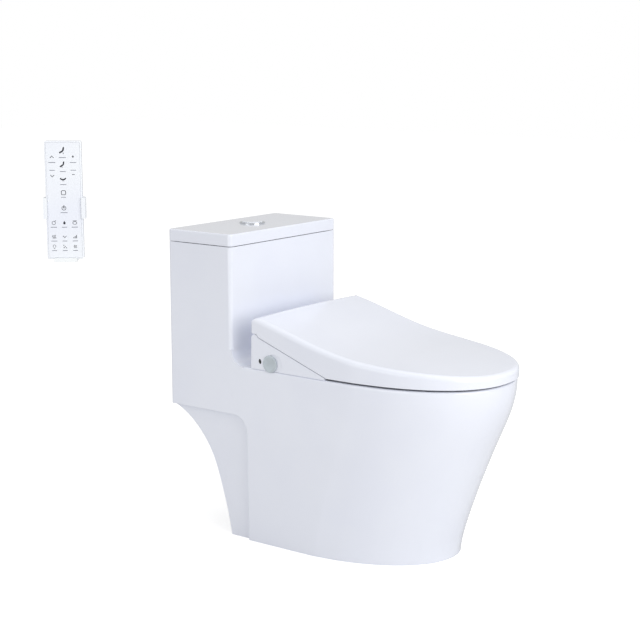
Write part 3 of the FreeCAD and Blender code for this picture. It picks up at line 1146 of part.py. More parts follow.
def drain_knob():
    """Grey dial on the left cheek: flat cap, body let into the cheek, and a hub in the filter's end."""
    x0 = -HALF_WIDTH - BODY_GAP - DIAL_CAP
    cap = rod(x0, DIAL_Y, DIAL_Z, X_AXIS, DIAL_RADIUS, DIAL_CAP)
    cap = cap.makeFillet(0.8, [e for e in cap.Edges if e.BoundBox.XMax < x0 + 0.01])
    body = rod(-HALF_WIDTH - BODY_GAP - DIAL_CAP / 2, DIAL_Y, DIAL_Z, X_AXIS, DIAL_BODY_RADIUS,
               DIAL_THICKNESS + BODY_GAP + DIAL_CAP / 2)
    hub = rod(-HALF_WIDTH, DIAL_Y, DIAL_Z, X_AXIS, DIAL_HUB_RADIUS, DIAL_THICKNESS + DIAL_HUB_PLUG)
    return joined([cap, body, hub])


def filter_cartridge():
    """Fine strainer behind the dial, with ring grooves."""
    x0 = -HALF_WIDTH + DIAL_THICKNESS + BODY_GAP
    body = rod(x0, DIAL_Y, DIAL_Z, X_AXIS, FILTER_RADIUS, FILTER_LENGTH)
    body = body.cut(rod(x0 - 1, DIAL_Y, DIAL_Z, X_AXIS, DIAL_HUB_RADIUS + BODY_GAP,
                        DIAL_HUB_PLUG + BODY_GAP + 1))
    for i in range(5):
        body = body.cut(ring(x0 + 12 + 7 * i, DIAL_Y, DIAL_Z, X_AXIS, FILTER_RADIUS + 1,
                             FILTER_RADIUS - 1.2, 3.5))
    return body


def filter_bore(grow):
    """Way for the filter, from the cheek into the hood; grow makes room for its socket."""
    return rod(-HALF_WIDTH, DIAL_Y, DIAL_Z, X_AXIS, FILTER_RADIUS + BODY_GAP + grow, FILTER_LENGTH + 12)


# ---- lid ----------------------------------------------------------------------------------------
# Height of the lid's top along its middle, from the rear forward (y, z).
LID_TOP = [(60, 521), (-20, 502), (-90, 481.5), (-160, 464.5), (-240, 452.5), (-340, 443.5), (-420, 436),
           (-490, 428)]
LID_NOSE_LENGTH = 304.0
LID_REAR_Y = UNIT_REAR_Y - 2.0
LID_BOTTOM_Z = RIM_Z + LID_EDGE_GAP
LID_FOOT_Z = HINGE_Z + 10.8


def crowned_block(drop):
    """Everything under the lid's top surface: falling towards the front, slightly crowned across."""
    reach = HALF_WIDTH + 30
    edge = LID_CROWN * (reach / HALF_WIDTH) ** 2
    wires = []
    for y, z in LID_TOP:
        top = z - drop
        arc = Part.Arc(vec(-reach, y, top - edge), vec(0, y, top), vec(reach, y, top - edge)).toShape()
        wires.append(Part.Wire([
            arc,
            Part.makeLine(vec(reach, y, top - edge), vec(reach, y, RIM_Z - 20)),
            Part.makeLine(vec(reach, y, RIM_Z - 20), vec(-reach, y, RIM_Z - 20)),
            Part.makeLine(vec(-reach, y, RIM_Z - 20), vec(-reach, y, top - edge)),
        ]))
    return Part.makeLoft(wires, True, False)


def lid_block(inset):
    """Filled lid, or with inset the room inside it."""
    prism = nose_prism(LID_BOTTOM_Z - (2 if inset else 0), LID_TOP[0][1] + 20, HALF_WIDTH - inset,
                       inset - LID_REACH, LID_NOSE_LENGTH - inset / 2, SKIRT_POWER, LID_REAR_Y - inset)
    block = prism.common(crowned_block(inset))
    top = [e for e in block.Edges if e.BoundBox.ZMin > LID_TOP[-1][1] - LID_CROWN - inset - 8
           and abs(e.tangentAt((e.FirstParameter + e.LastParameter) / 2).z) < 0.9]
    return block.makeFillet(LID_EDGE_RADIUS - inset, top)


def lid_side_cut():
    """Clears the lid's sides over the cheeks, and round the hinge line."""
    tip_y = HINGE_Y + 5 - (LID_LINE_REAR_Z - LID_BOTTOM_Z) / LID_LINE_SLOPE
    points = [(tip_y, LID_BOTTOM_Z), (tip_y, RIM_Z - 10), (LID_REAR_Y + 10, RIM_Z - 10),
              (LID_REAR_Y + 10, LID_FOOT_Z), (HINGE_Y + 6, LID_FOOT_Z),
              (HINGE_Y + 1, lid_line_z(HINGE_Y + 1))]
    wedge = plate_yz(points, -HALF_WIDTH - 5, HALF_WIDTH + 5)
    return wedge.fuse(rod(-HALF_WIDTH - 5, HINGE_Y, HINGE_Z, X_AXIS, HINGE_ROUND + LID_SWING_GAP,
                          2 * HALF_WIDTH + 10))


HUB_RADIUS = 8.0


def lid_shell():
    inner = lid_block(LID_SKIN)
    shell = lid_block(0.0).cut(inner).cut(lid_side_cut())
    hubs = []
    bores = []
    for side in (-1, 1):
        x0 = LID_HINGE_IN if side > 0 else -LID_HINGE_OUT
        width = LID_HINGE_OUT - LID_HINGE_IN
        web = box(x0, x0 + width, HINGE_Y - 6, HINGE_Y + 4, HINGE_Z, LID_TOP[0][1])
        hub = rod(x0, HINGE_Y, HINGE_Z, X_AXIS, HUB_RADIUS, width)
        hubs.append(web.common(lid_block(LID_SKIN / 2)).fuse(hub))
        bores.append(rod(x0 - 1, HINGE_Y, HINGE_Z, X_AXIS, PIN_RADIUS + PIN_FIT, width + 2))
    return shell.fuse(hubs).cut(bores).removeSplitter()


LID_BUMPER_PLACES = [(96.0, -330.0), (64.0, -420.0)]
SEAT_BUMPER_PLACES = [(150.0, -150.0), (104.0, -395.0)]
BUMPER_FIT = 0.1            # lid bumpers under the lid's inner face


def lid_bumpers():
    inner = lid_block(LID_SKIN + BUMPER_FIT)
    parts = []
    for x, y in LID_BUMPER_PLACES:
        for side in (-1, 1):
            z0 = SEAT_TOP_Z + PART_GAP
            parts.append(rod(side * x, y, z0, Z_AXIS, 7.0, 60).common(inner))
    return Part.makeCompound(parts)


# ---- seat ---------------------------------------------------------------------------------------
SEAT_TOP_Z = SEAT_UNDER_Z + SEAT_THICKNESS
SEAT_SPLIT_Z = SEAT_UNDER_Z + 6.0
SEAT_WALL = 3.0
SEAT_EDGE_RADIUS = 7.0
SEAT_REACH = LID_REACH - SEAT_INSET
SEAT_NOSE_LENGTH = LID_NOSE_LENGTH - SEAT_INSET
SEAT_SEAM = 0.2
WAND_SEAT_GAP = 1.0         # wand in the channel under the rear of the seat
SEAT_CHANNEL_WALL = 1.2


def seat_prism(inset, z0, z1):
    return nose_prism(z0, z1, SEAT_HALF_WIDTH - inset, inset - SEAT_REACH, SEAT_NOSE_LENGTH - inset / 2,
                      SKIRT_POWER, SEAT_REAR_Y - inset)


def seat_hole(grow, z0, z1):
    face = Part.Face(oval(SEAT_HOLE_MID_Y, SEAT_HOLE_HALF_LENGTH + grow, SEAT_HOLE_HALF_WIDTH + grow, z0))
    return face.extrude(vec(0, 0, z1 - z0))


def wand_way(radius):
    """Straight way of the wand under the rear of the seat."""
    round_way = rod(0, -WAND_LENGTH, 0, Y_AXIS, radius, 2 * WAND_LENGTH)
    grow = radius - WAND_RADIUS
    rack_way = box(-RACK_HALF_WIDTH - grow, RACK_HALF_WIDTH + grow, -WAND_LENGTH, WAND_LENGTH, 0,
                   RACK_BASE + TOOTH_HEIGHT + grow)
    return on_wand_line(round_way.fuse(rack_way))


def seat_ring(z0, z1):
    ring_solid = seat_prism(0, z0, z1)
    corners = [e for e in ring_solid.Edges if abs(e.tangentAt(e.FirstParameter).z) > 0.99
               and e.BoundBox.YMin > SEAT_REAR_Y - 1]
    ring_solid = ring_solid.makeFillet(12.0, corners)
    return ring_solid.cut(seat_hole(0, z0 - 1, z1 + 1))


def seat_top_shell():
    """Contoured upper shell of the heated seat."""
    shell = seat_ring(SEAT_SPLIT_Z + SEAT_SEAM, SEAT_TOP_Z)
    top = [e for e in shell.Edges if e.BoundBox.ZMin > SEAT_TOP_Z - 0.01]
    shell = shell.makeFillet(SEAT_EDGE_RADIUS, top)
    room = seat_prism(SEAT_WALL, SEAT_SPLIT_Z, SEAT_TOP_Z - SEAT_WALL)
    room = room.cut(seat_hole(SEAT_WALL, SEAT_SPLIT_Z - 1, SEAT_TOP_Z))
    for side in (-1, 1):
        x0 = SEAT_HINGE_IN if side > 0 else -SEAT_HINGE_OUT
        notch = box(x0 - PART_GAP, x0 + SEAT_HINGE_OUT - SEAT_HINGE_IN + PART_GAP, SEAT_REAR_Y - 24,
                    SEAT_REAR_Y + 1, SEAT_SPLIT_Z, SEAT_TOP_Z - SEAT_WALL)
        shell = shell.cut(notch)
    roof = wand_way(WAND_RADIUS + WAND_SEAT_GAP + SEAT_CHANNEL_WALL).common(shell)
    return shell.cut(room).fuse(roof).cut(wand_way(WAND_RADIUS + WAND_SEAT_GAP)).removeSplitter()


def seat_bottom_shell():
    """Lower shell of the seat with its two hinge arms."""
    base = seat_ring(SEAT_UNDER_Z, SEAT_SPLIT_Z)
    parts = [base]
    bores = []
    arm = [(HINGE_Y - 2, HINGE_Z + HUB_RADIUS), (HINGE_Y, HINGE_Z - HUB_RADIUS),
           (SEAT_REAR_Y, SEAT_UNDER_Z + 3), (SEAT_REAR_Y - 20, SEAT_UNDER_Z + 3),
           (SEAT_REAR_Y - 20, SEAT_TOP_Z - SEAT_WALL - 1), (SEAT_REAR_Y + 3, SEAT_TOP_Z - SEAT_WALL - 1),
           (-20, SEAT_TOP_Z + 28)]
    for side in (-1, 1):
        x0 = SEAT_HINGE_IN if side > 0 else -SEAT_HINGE_OUT
        width = SEAT_HINGE_OUT - SEAT_HINGE_IN
        parts.append(plate_yz(arm, x0, x0 + width))
        parts.append(rod(x0, HINGE_Y, HINGE_Z, X_AXIS, HUB_RADIUS, width))
        bores.append(rod(x0 - 1, HINGE_Y, HINGE_Z, X_AXIS, PIN_RADIUS + PIN_FIT, width + 2))
    return joined(parts).cut(bores + [wand_way(WAND_RADIUS + WAND_SEAT_GAP)]).removeSplitter()


def seat_heater():
    """Heating foil glued under the top shell."""
    z1 = SEAT_TOP_Z - SEAT_WALL
    foil = seat_prism(SEAT_WALL + 14, z1 - 0.8, z1)
    return foil.cut(seat_hole(SEAT_WALL + 9, z1 - 2, z1 + 1)).cut(
        box(-HALF_WIDTH, HALF_WIDTH, SEAT_REAR_Y - 26, SEAT_REAR_Y + 1, z1 - 2, z1 + 1))


def seat_bumpers():
    parts = []
    for x, y in SEAT_BUMPER_PLACES:
        for side in (-1, 1):
            pad = rod(side * x, y, RIM_Z + PART_GAP, Z_AXIS, 9.0, SEAT_UNDER_Z - RIM_Z - PART_GAP)
            low = [e for e in pad.Edges if e.BoundBox.ZMax < RIM_Z + PART_GAP + 0.01]
            parts.append(pad.makeFillet(1.5, low))
    return Part.makeCompound(parts)


# ---- remote and wall holder -----------------------------------------------------------------------
# Built with its back on y = 0 facing -Y, its underside on z = 0, then turned and moved to its place.
HOLDER_BACK = 3.0
HOLDER_HALF_WIDTH = 23.0
HOLDER_HEIGHT = 117.0
HOLDER_ARM_LOW = 77.0
HOLDER_ARM = 4.5
HOLDER_HOOK = 2.6           # how far the arms' ends reach over the remote's face
HOLDER_SHELF = 5.0
HOLDER_HOLE_RADIUS = 2.2
HOLDER_HOLE_LOW = 22.0
HOLDER_HOLE_HIGH = 96.0
REMOTE_GAP = 0.6
REMOTE_CORNER = 3.0
REMOTE_BACK_Y = -(HOLDER_BACK + REMOTE_GAP)
REMOTE_SPLIT_Y = REMOTE_BACK_Y - 9.0
REMOTE_FRONT_Y = REMOTE_BACK_Y - REMOTE_DEPTH
KEYPAD_DEPTH = 0.6
KEYPAD_INSET = 2.6          # tray of the keypad inside the remote's edge
KEYPAD_GAP = 0.2
KEYPAD_CORNER = 1.2
KEYPAD_SUNK = 0.1           # keypad below the edge round it
COVER_LOW = 16.0
COVER_HIGH = 92.0
COVER_HALF_WIDTH = 21.0
COVER_TRAVEL = 8.0
BATTERY_RADIUS = 5.2
BATTERY_LENGTH = 44.5


def on_wall(shape):
    placed = shape.copy()
    placed.rotate(vec(0, 0, 0), Z_AXIS, REMOTE_YAW)
    placed.translate(vec(REMOTE_X, REMOTE_Y, REMOTE_Z))
    return placed


def panel(half, y0, y1, z0, z1, corner):
    """A plate facing the front, with rounded corners in its face."""
    slab = box(-half, half, y1, y0, z0, z1)
    corners = [e for e in slab.Edges if abs(e.tangentAt(e.FirstParameter).y) > 0.99]
    return slab.makeFillet(corner, corners)


def remote_holder():
    half = REMOTE_WIDTH / 2
    back = panel(HOLDER_HALF_WIDTH, 0, -HOLDER_BACK, -REMOTE_GAP - HOLDER_SHELF, HOLDER_HEIGHT, 4.0)
    shelf = box(-HOLDER_HALF_WIDTH + 1.5, HOLDER_HALF_WIDTH - 1.5, REMOTE_FRONT_Y - 3.0, -1,
                -REMOTE_GAP - HOLDER_SHELF, -REMOTE_GAP)
    lip = box(-HOLDER_HALF_WIDTH + 1.5, HOLDER_HALF_WIDTH - 1.5, REMOTE_FRONT_Y - 3.0,
              REMOTE_FRONT_Y - REMOTE_GAP, -REMOTE_GAP - HOLDER_SHELF, 2.0)
    parts = [back, shelf, lip]
    outer = half + REMOTE_GAP + HOLDER_ARM
    parts.append(box(-outer, outer, -HOLDER_BACK, 0, HOLDER_ARM_LOW, HOLDER_HEIGHT))
    for side in (-1, 1):
        x0, x1 = sorted((side * (half + REMOTE_GAP), side * outer))
        parts.append(box(x0, x1, REMOTE_FRONT_Y - 2.5, 0, HOLDER_ARM_LOW, HOLDER_HEIGHT))
        h0, h1 = sorted((side * (half - HOLDER_HOOK), side * outer))
        parts.append(box(h0, h1, REMOTE_FRONT_Y - 2.5, REMOTE_FRONT_Y - REMOTE_GAP, HOLDER_ARM_LOW,
                         HOLDER_HEIGHT))
    body = joined(parts)
    for z in (HOLDER_HOLE_LOW, HOLDER_HOLE_HIGH):
        body = body.cut(rod(0, -HOLDER_BACK - 1, z, Y_AXIS, HOLDER_HOLE_RADIUS, HOLDER_BACK + 2))
    return on_wall(body.removeSplitter())


def remote_front():
    body = panel(REMOTE_WIDTH / 2, REMOTE_SPLIT_Y, REMOTE_FRONT_Y, 0, REMOTE_HEIGHT, REMOTE_CORNER)
    face = [e for e in body.Edges if e.BoundBox.YMax < REMOTE_FRONT_Y + 0.01]
    body = body.makeFillet(1.6, face)
    room = panel(REMOTE_WIDTH / 2 - REMOTE_SHELL, REMOTE_SPLIT_Y + 1, REMOTE_FRONT_Y + REMOTE_SHELL,
                 REMOTE_SHELL, REMOTE_HEIGHT - REMOTE_SHELL, REMOTE_CORNER - REMOTE_SHELL)
    tray = panel(REMOTE_WIDTH / 2 - KEYPAD_INSET, REMOTE_FRONT_Y + KEYPAD_DEPTH, REMOTE_FRONT_Y - 1,
                 KEYPAD_INSET, REMOTE_HEIGHT - KEYPAD_INSET, KEYPAD_CORNER + KEYPAD_GAP)
    return on_wall(body.cut([room, tray]))


def remote_keypad():
    """Printed membrane over the domes; its keys give by a fraction of a millimetre."""
    inset = KEYPAD_INSET + KEYPAD_GAP
    return on_wall(panel(REMOTE_WIDTH / 2 - inset, REMOTE_FRONT_Y + KEYPAD_DEPTH,
                         REMOTE_FRONT_Y + KEYPAD_SUNK, inset, REMOTE_HEIGHT - inset, KEYPAD_CORNER))


def battery_bay():
    return box(-COVER_HALF_WIDTH, COVER_HALF_WIDTH, REMOTE_BACK_Y - REMOTE_SHELL, REMOTE_BACK_Y + 1,
               COVER_LOW, COVER_HIGH + COVER_TRAVEL)


def remote_back():
    body = panel(REMOTE_WIDTH / 2, REMOTE_BACK_Y, REMOTE_SPLIT_Y + 0.1, 0, REMOTE_HEIGHT, REMOTE_CORNER)
    face = [e for e in body.Edges if e.BoundBox.YMin > REMOTE_BACK_Y - 0.01]
    body = body.makeFillet(1.6, face)
    room = panel(REMOTE_WIDTH / 2 - REMOTE_SHELL, REMOTE_BACK_Y - REMOTE_SHELL, REMOTE_SPLIT_Y - 1,
                 REMOTE_SHELL, REMOTE_HEIGHT - REMOTE_SHELL, REMOTE_CORNER - REMOTE_SHELL)
    return on_wall(body.cut([room, battery_bay()]))


def battery_cover():
    return on_wall(box(-COVER_HALF_WIDTH + BODY_GAP, COVER_HALF_WIDTH - BODY_GAP, REMOTE_BACK_Y - 1.8,
                       REMOTE_BACK_Y, COVER_LOW + BODY_GAP, COVER_HIGH - BODY_GAP))


def batteries():
    parts = []
    y = REMOTE_BACK_Y - REMOTE_SHELL - BATTERY_RADIUS - 0.6
    for x in (-6.5, 6.5):
        cell = rod(x, y, COVER_LOW + 16, Z_AXIS, BATTERY_RADIUS, BATTERY_LENGTH)
        parts.append(cell.fuse(rod(x, y, COVER_LOW + 15, Z_AXIS, 1.9, BATTERY_LENGTH + 2)))
    return on_wall(Part.makeCompound(parts))


def remote_board():
    y = REMOTE_FRONT_Y + REMOTE_SHELL
    board = box(-REMOTE_WIDTH / 2 + 4, REMOTE_WIDTH / 2 - 4, y + 0.4, y + 1.8, 6, REMOTE_HEIGHT - 6)
    chip = box(-9, 9, y + 1.8, y + 4, 150, 168)
    spring_z = (COVER_LOW + 13.9, COVER_LOW + 17.1 + BATTERY_LENGTH)
    ends = [box(-14, 14, y + 1.0, y + 10, z, z + 1.0) for z in spring_z]
    return on_wall(joined([board, chip] + ends))


# ---- every piece to its own file -------------------------------------------------------------------
save("ceramic_body", ceramic_body())
save("outlet_seal", outlet_seal())
save("floor_brackets", floor_brackets())
save("bracket_screws", bracket_screws())
save("tank_lid", tank_lid())
save("flush_button_housing", flush_housing())
save("flush_housing_nut", flush_housing_nut())
save("flush_button_full", flush_button(-1))
save("flush_button_half", flush_button(1))
save("flush_valve_gasket", flush_valve_gasket())
save("flush_valve_tower", flush_valve_tower())
save("flush_valve_plunger", flush_valve_plunger())
save("flush_valve_seal", flush_valve_seal())
save("flush_rocker", flush_rocker())
save("fill_valve_body", fill_valve_body())
save("fill_valve_nut", fill_valve_nut())
save("fill_valve_float", fill_valve_float())
save("fill_valve_lever", fill_valve_lever())
save("refill_tube", refill_tube())
save("base_plate", base_plate())
save("mount_bolts", mount_bolts())
save("mount_bushings", mount_bushings())
save("unit_upper_case", unit_upper_case())
save("unit_lower_case", unit_lower_case())
save("case_screws", case_screws())
save("indicator_window", indicator_window())
save("release_button", release_button())
save("drain_dial", drain_knob())
save("filter_cartridge", filter_cartridge())
save("water_inlet_port", water_inlet_port())
save("cord_gland", cord_gland())
save("solenoid_valve", solenoid_valve())
save("water_heater", water_heater())
save("flow_valve", flow_valve())
save("wand_guide", wand_guide())
save("spray_wand", wand())
save("wand_pinion", wand_pinion())
save("wand_motor", wand_motor())
save("dryer_housing", dryer_housing())
save("dryer_impeller", dryer_impeller())
save("deodoriser_housing", deodoriser_housing())
save("deodoriser_impeller", deodoriser_impeller())
save("circuit_board", circuit_board())
save("seat_damper", damper(-1))
save("lid_damper", damper(1))
save("hinge_pins", hinge_pins())
save("seat_bottom_shell", seat_bottom_shell())
save("seat_top_shell", seat_top_shell())
save("seat_heater", seat_heater())
save("seat_bumpers", seat_bumpers())
save("lid_shell", lid_shell())
save("lid_bumpers", lid_bumpers())
save("remote_holder", remote_holder())
save("remote_front", remote_front())
save("remote_back", remote_back())
save("remote_keypad", remote_keypad())
save("remote_board", remote_board())
save("battery_cover", battery_cover())
save("batteries", batteries())
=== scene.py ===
"""Looks of a one-piece toilet with a washing seat and its remote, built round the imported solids."""

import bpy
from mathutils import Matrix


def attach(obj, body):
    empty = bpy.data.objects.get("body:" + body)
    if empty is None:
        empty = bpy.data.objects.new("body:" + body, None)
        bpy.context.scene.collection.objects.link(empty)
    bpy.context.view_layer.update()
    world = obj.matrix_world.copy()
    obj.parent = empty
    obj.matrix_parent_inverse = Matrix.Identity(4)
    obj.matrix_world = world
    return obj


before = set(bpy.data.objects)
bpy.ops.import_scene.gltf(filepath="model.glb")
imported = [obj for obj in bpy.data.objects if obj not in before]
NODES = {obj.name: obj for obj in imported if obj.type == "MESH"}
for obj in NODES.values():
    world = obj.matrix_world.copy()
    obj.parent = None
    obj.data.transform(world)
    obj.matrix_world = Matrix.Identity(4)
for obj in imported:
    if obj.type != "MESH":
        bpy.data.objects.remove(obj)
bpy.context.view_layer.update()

import math

import bmesh
import bpy
from mathutils import Matrix, Vector

bl_info = {
    "name": "Washing-seat toilet",
    "version": (1, 0, 0),
    "blender": (4, 5, 0),
    "location": "View3D > Sidebar > Toilet",
    "description": "Finishes a one-piece toilet, its washing seat and its remote, and lights them",
    "category": "Object",
}

# The remote's own frame: its middle at the foot of the holder's back plate, turned to its place on
# the wall.
REMOTE_TURN = math.radians(-50.0)
REMOTE_FOOT = Vector((-0.682, 0.107, 0.700))
REMOTE_FACE = 0.0225           # from the wall to the face of the keypad
REMOTE_WIDTH = 0.069
REMOTE_HEIGHT = 0.224


# ---- settings ------------------------------------------------------------------------------------
def colour_setting(name, description, default):
    return bpy.props.FloatVectorProperty(name=name, description=description, default=default, size=3,
                                         min=0.0, max=1.0, subtype="COLOR")


def share_setting(name, description, default):
    return bpy.props.FloatProperty(name=name, description=description, default=default, min=0.0, max=1.0,
                                   subtype="FACTOR")


def length_setting(name, description, default):
    return bpy.props.FloatProperty(name=name, description=description, default=default, min=0.0, max=10.0,
                                   precision=5, subtype="DISTANCE", unit="LENGTH")


def power_setting(name, description, default):
    return bpy.props.FloatProperty(name=name, description=description, default=default, min=0.0, max=500.0,
                                   subtype="POWER", unit="POWER")


class CeramicSettings(bpy.types.PropertyGroup):
    glaze: colour_setting("Glaze", "Colour of the fired glaze", (0.88, 0.906, 0.99))
    pooled: colour_setting("Pooled glaze", "Colour where the glaze lies thicker", (0.864, 0.89, 0.98))
    roughness: share_setting("Roughness", "Roughness of the glaze", 0.12)
    ripple: length_setting("Ripple", "Height of the slow waves in the glaze", 0.00012)
    edge: length_setting("Edge softening", "Radius of the glaze over sharp edges", 0.0012)


class PlasticSettings(bpy.types.PropertyGroup):
    shell: colour_setting("Shell", "Colour of the seat, the lid and the cases", (0.872, 0.898, 0.982))
    shade: colour_setting("Shell shade", "Second tone of the shells", (0.854, 0.881, 0.97))
    roughness: share_setting("Roughness", "Roughness of the glossy shells", 0.2)
    grain: length_setting("Grain", "Height of the moulded grain", 0.00001)
    edge: length_setting("Edge softening", "Radius of the moulded edges", 0.0006)
    window: colour_setting("Window", "Colour of the small signal window", (0.012, 0.013, 0.015))
    dial: colour_setting("Dial", "Colour of the clear grey dial", (0.66, 0.73, 0.78))


class MetalSettings(bpy.types.PropertyGroup):
    chrome: colour_setting("Chrome", "Colour of the ring round the flush button", (0.62, 0.64, 0.67))
    steel: colour_setting("Steel", "Colour of brackets, bolts and pins", (0.45, 0.45, 0.46))
    brass: colour_setting("Brass", "Colour of the inlet fitting", (0.55, 0.38, 0.16))
    streak: share_setting("Streaks", "Strength of the brushed streaks", 0.35)


class PrintSettings(bpy.types.PropertyGroup):
    ink: colour_setting("Ink", "Colour of the printed signs", (0.02, 0.022, 0.03))
    label: colour_setting("Labels", "Colour of the label bars under the signs", (0.22, 0.23, 0.28))
    depth: length_setting("Ink depth", "Thickness of the printed signs", 0.00012)
    size: length_setting("Sign size", "Width of one sign", 0.009)


class StudioSettings(bpy.types.PropertyGroup):
    floor: colour_setting("Floor", "Colour of the studio floor", (0.7, 0.7, 0.7))
    world: bpy.props.FloatProperty(name="World light", description="Strength of the light all round",
                                   default=0.65, min=0.0, max=5.0)
    key: power_setting("Key lamp", "Power of the large lamp in front", 47.0)
    fill: power_setting("Fill lamp", "Power of the lamp on the camera's side", 11.0)
    top: power_setting("Top lamp", "Power of the large lamp overhead", 16.0)
    lens: bpy.props.FloatProperty(name="Lens", description="Focal length of the camera on a 36 mm sensor",
                                  default=86.58, min=1.0, max=300.0, subtype="DISTANCE_CAMERA")


# ---- shader node groups --------------------------------------------------------------------------
PEEL_SHARE = 0.05                      # height of the orange peel against the slow waves
STREAK_STRETCH = (1.0, 14.0, 14.0)     # squeezes the noise across the streaks
BEVEL_SAMPLES = 4


def new_group(name, inputs, outputs, output_kind="NodeSocketFloat"):
    """An empty shader group with number inputs, and with outputs of one kind."""
    group = bpy.data.node_groups.new(name, "ShaderNodeTree")
    for label in inputs:
        group.interface.new_socket(name=label, in_out="INPUT", socket_type="NodeSocketFloat")
    for label in outputs:
        group.interface.new_socket(name=label, in_out="OUTPUT", socket_type=output_kind)
    return group, group.nodes.new("NodeGroupInput"), group.nodes.new("NodeGroupOutput")


def object_noise(tree, scale_socket, detail, stretch=None):
    """A noise on the object's own coordinates, so that it stays on a piece that moves."""
    place = tree.nodes.new("ShaderNodeTexCoord").outputs["Object"]
    if stretch:
        mapping = tree.nodes.new("ShaderNodeMapping")
        mapping.inputs["Scale"].default_value = stretch
        tree.links.new(place, mapping.inputs["Vector"])
        place = mapping.outputs["Vector"]
    noise = tree.nodes.new("ShaderNodeTexNoise")
    noise.inputs["Detail"].default_value = detail
    tree.links.new(place, noise.inputs["Vector"])
    tree.links.new(scale_socket, noise.inputs["Scale"])
    return noise.outputs["Fac"]


def soft_step(tree, value, low, high):
    """A value that goes smoothly from 0 at the low mark to 1 at the high one."""
    step = tree.nodes.new("ShaderNodeMapRange")
    step.interpolation_type = "SMOOTHSTEP"
    step.inputs["From Min"].default_value = low
    step.inputs["From Max"].default_value = high
    tree.links.new(value, step.inputs["Value"])
    return step.outputs["Result"]


def combined(tree, operation, first, second):
    """The result of a math node on two values, each a socket or a number."""
    node = tree.nodes.new("ShaderNodeMath")
    node.operation = operation
    for socket, value in zip(node.inputs, (first, second)):
        if isinstance(value, (int, float)):
            socket.default_value = value
        else:
            tree.links.new(value, socket)
    return node.outputs["Value"]


def glaze_group():
    """Slow waves and a faint orange peel of a fired glaze, and where it pools."""
    group, given, result = new_group("glaze_waves", ["Wave Scale", "Peel Scale"], ["Height", "Pooling"])
    waves = object_noise(group, given.outputs["Wave Scale"], detail=1.5)
    peel = object_noise(group, given.outputs["Peel Scale"], detail=1.0)
    height = combined(group, "ADD", waves, combined(group, "MULTIPLY", peel, PEEL_SHARE))
    group.links.new(height, result.inputs["Height"])
    group.links.new(soft_step(group, waves, low=0.4, high=0.68), result.inputs["Pooling"])


def moulded_group():
    """Fine grain of moulded plastic and a slow change of tone."""
    group, given, result = new_group("moulded_grain", ["Grain Scale", "Tone Scale"], ["Height", "Tone"])
    grain = object_noise(group, given.outputs["Grain Scale"], detail=2.0)
    tone = object_noise(group, given.outputs["Tone Scale"], detail=1.0)
    group.links.new(grain, result.inputs["Height"])
    group.links.new(soft_step(group, tone, low=0.35, high=0.7), result.inputs["Tone"])


def edge_group():
    """Normal of an edge rounded by the given radius."""
    group, given, result = new_group("soft_edges", ["Radius"], ["Normal"], "NodeSocketVector")
    bevel = group.nodes.new("ShaderNodeBevel")
    bevel.samples = BEVEL_SAMPLES
    group.links.new(given.outputs["Radius"], bevel.inputs["Radius"])
    group.links.new(bevel.outputs["Normal"], result.inputs["Normal"])


def streak_group():
    """Brushed or drawn streaks along one direction of a metal piece."""
    group, given, result = new_group("drawn_streaks", ["Streak Scale"], ["Height", "Streak"])
    streak = object_noise(group, given.outputs["Streak Scale"], detail=3.0, stretch=STREAK_STRETCH)
    group.links.new(streak, result.inputs["Height"])
    group.links.new(soft_step(group, streak, low=0.3, high=0.7), result.inputs["Streak"])


GROUP_MAKERS = {
    "glaze_waves": glaze_group,
    "moulded_grain": moulded_group,
    "soft_edges": edge_group,
    "drawn_streaks": streak_group,
}


# ---- materials -----------------------------------------------------------------------------------
# Sockets of the Mix node, which gives the same names to those for numbers and for colours
MIX_MASK, MIX_FIRST, MIX_SECOND = 0, 6, 7
MIX_RESULT = 2

# Height of the relief, by material
FINE_GRAIN = 0.00001
SATIN_GRAIN = 0.00002
PLAIN_GRAIN = 0.00003
SOFT_GRAIN = 0.00004
BUFFER_GRAIN = 0.00005
RUBBER_GRAIN = 0.00006
TRACK_HEIGHT = 0.00003
STREAK_DEPTH = 0.00002         # that a full streak adds

# Radius of the softened edges, by material
MOULDED_EDGE = 0.0006
SEAT_EDGE = 0.0005
DIAL_EDGE = 0.0005
LID_EDGE = 0.0004
METAL_EDGE = 0.0004
PRINT_EDGE = 0.0001

# How far the patterns move the roughness and the colour
POOLING_ROUGHNESS = 0.05       # that pooled glaze adds
GRAIN_ROUGHNESS = 0.03         # that the grain adds or takes away
LEAST_ROUGHNESS = 0.02
STREAK_ROUGHNESS = 0.2         # that a full streak adds
STREAK_SHADE = 0.3             # share of the colour that a full streak takes away

# First and second tone of the pieces that have no setting
NUT_TONES = ((0.62, 0.63, 0.65), (0.55, 0.56, 0.58))
VALVE_TONES = ((0.72, 0.73, 0.74), (0.64, 0.65, 0.67))
LEVER_TONES = ((0.26, 0.28, 0.31), (0.22, 0.24, 0.27))
FLOAT_TONES = ((0.34, 0.42, 0.5), (0.3, 0.38, 0.46))
SEAL_TONES = ((0.018, 0.018, 0.019), (0.035, 0.035, 0.036))
TUBE_TONES = ((0.5, 0.5, 0.5), (0.42, 0.42, 0.43))
LOWER_CASE_TONES = ((0.7, 0.72, 0.76), (0.66, 0.68, 0.72))
FILTER_TONES = ((0.3, 0.32, 0.35), (0.36, 0.38, 0.41))
BLACK_WORKS_TONES = ((0.03, 0.03, 0.032), (0.05, 0.05, 0.052))
WHITE_WORKS_TONES = ((0.68, 0.69, 0.7), (0.6, 0.61, 0.63))
GREY_WORKS_TONES = ((0.3, 0.31, 0.33), (0.26, 0.27, 0.29))
BUFFER_TONES = ((0.52, 0.53, 0.55), (0.46, 0.47, 0.49))
BRACKET_TONES = ((0.42, 0.43, 0.45), (0.37, 0.38, 0.4))
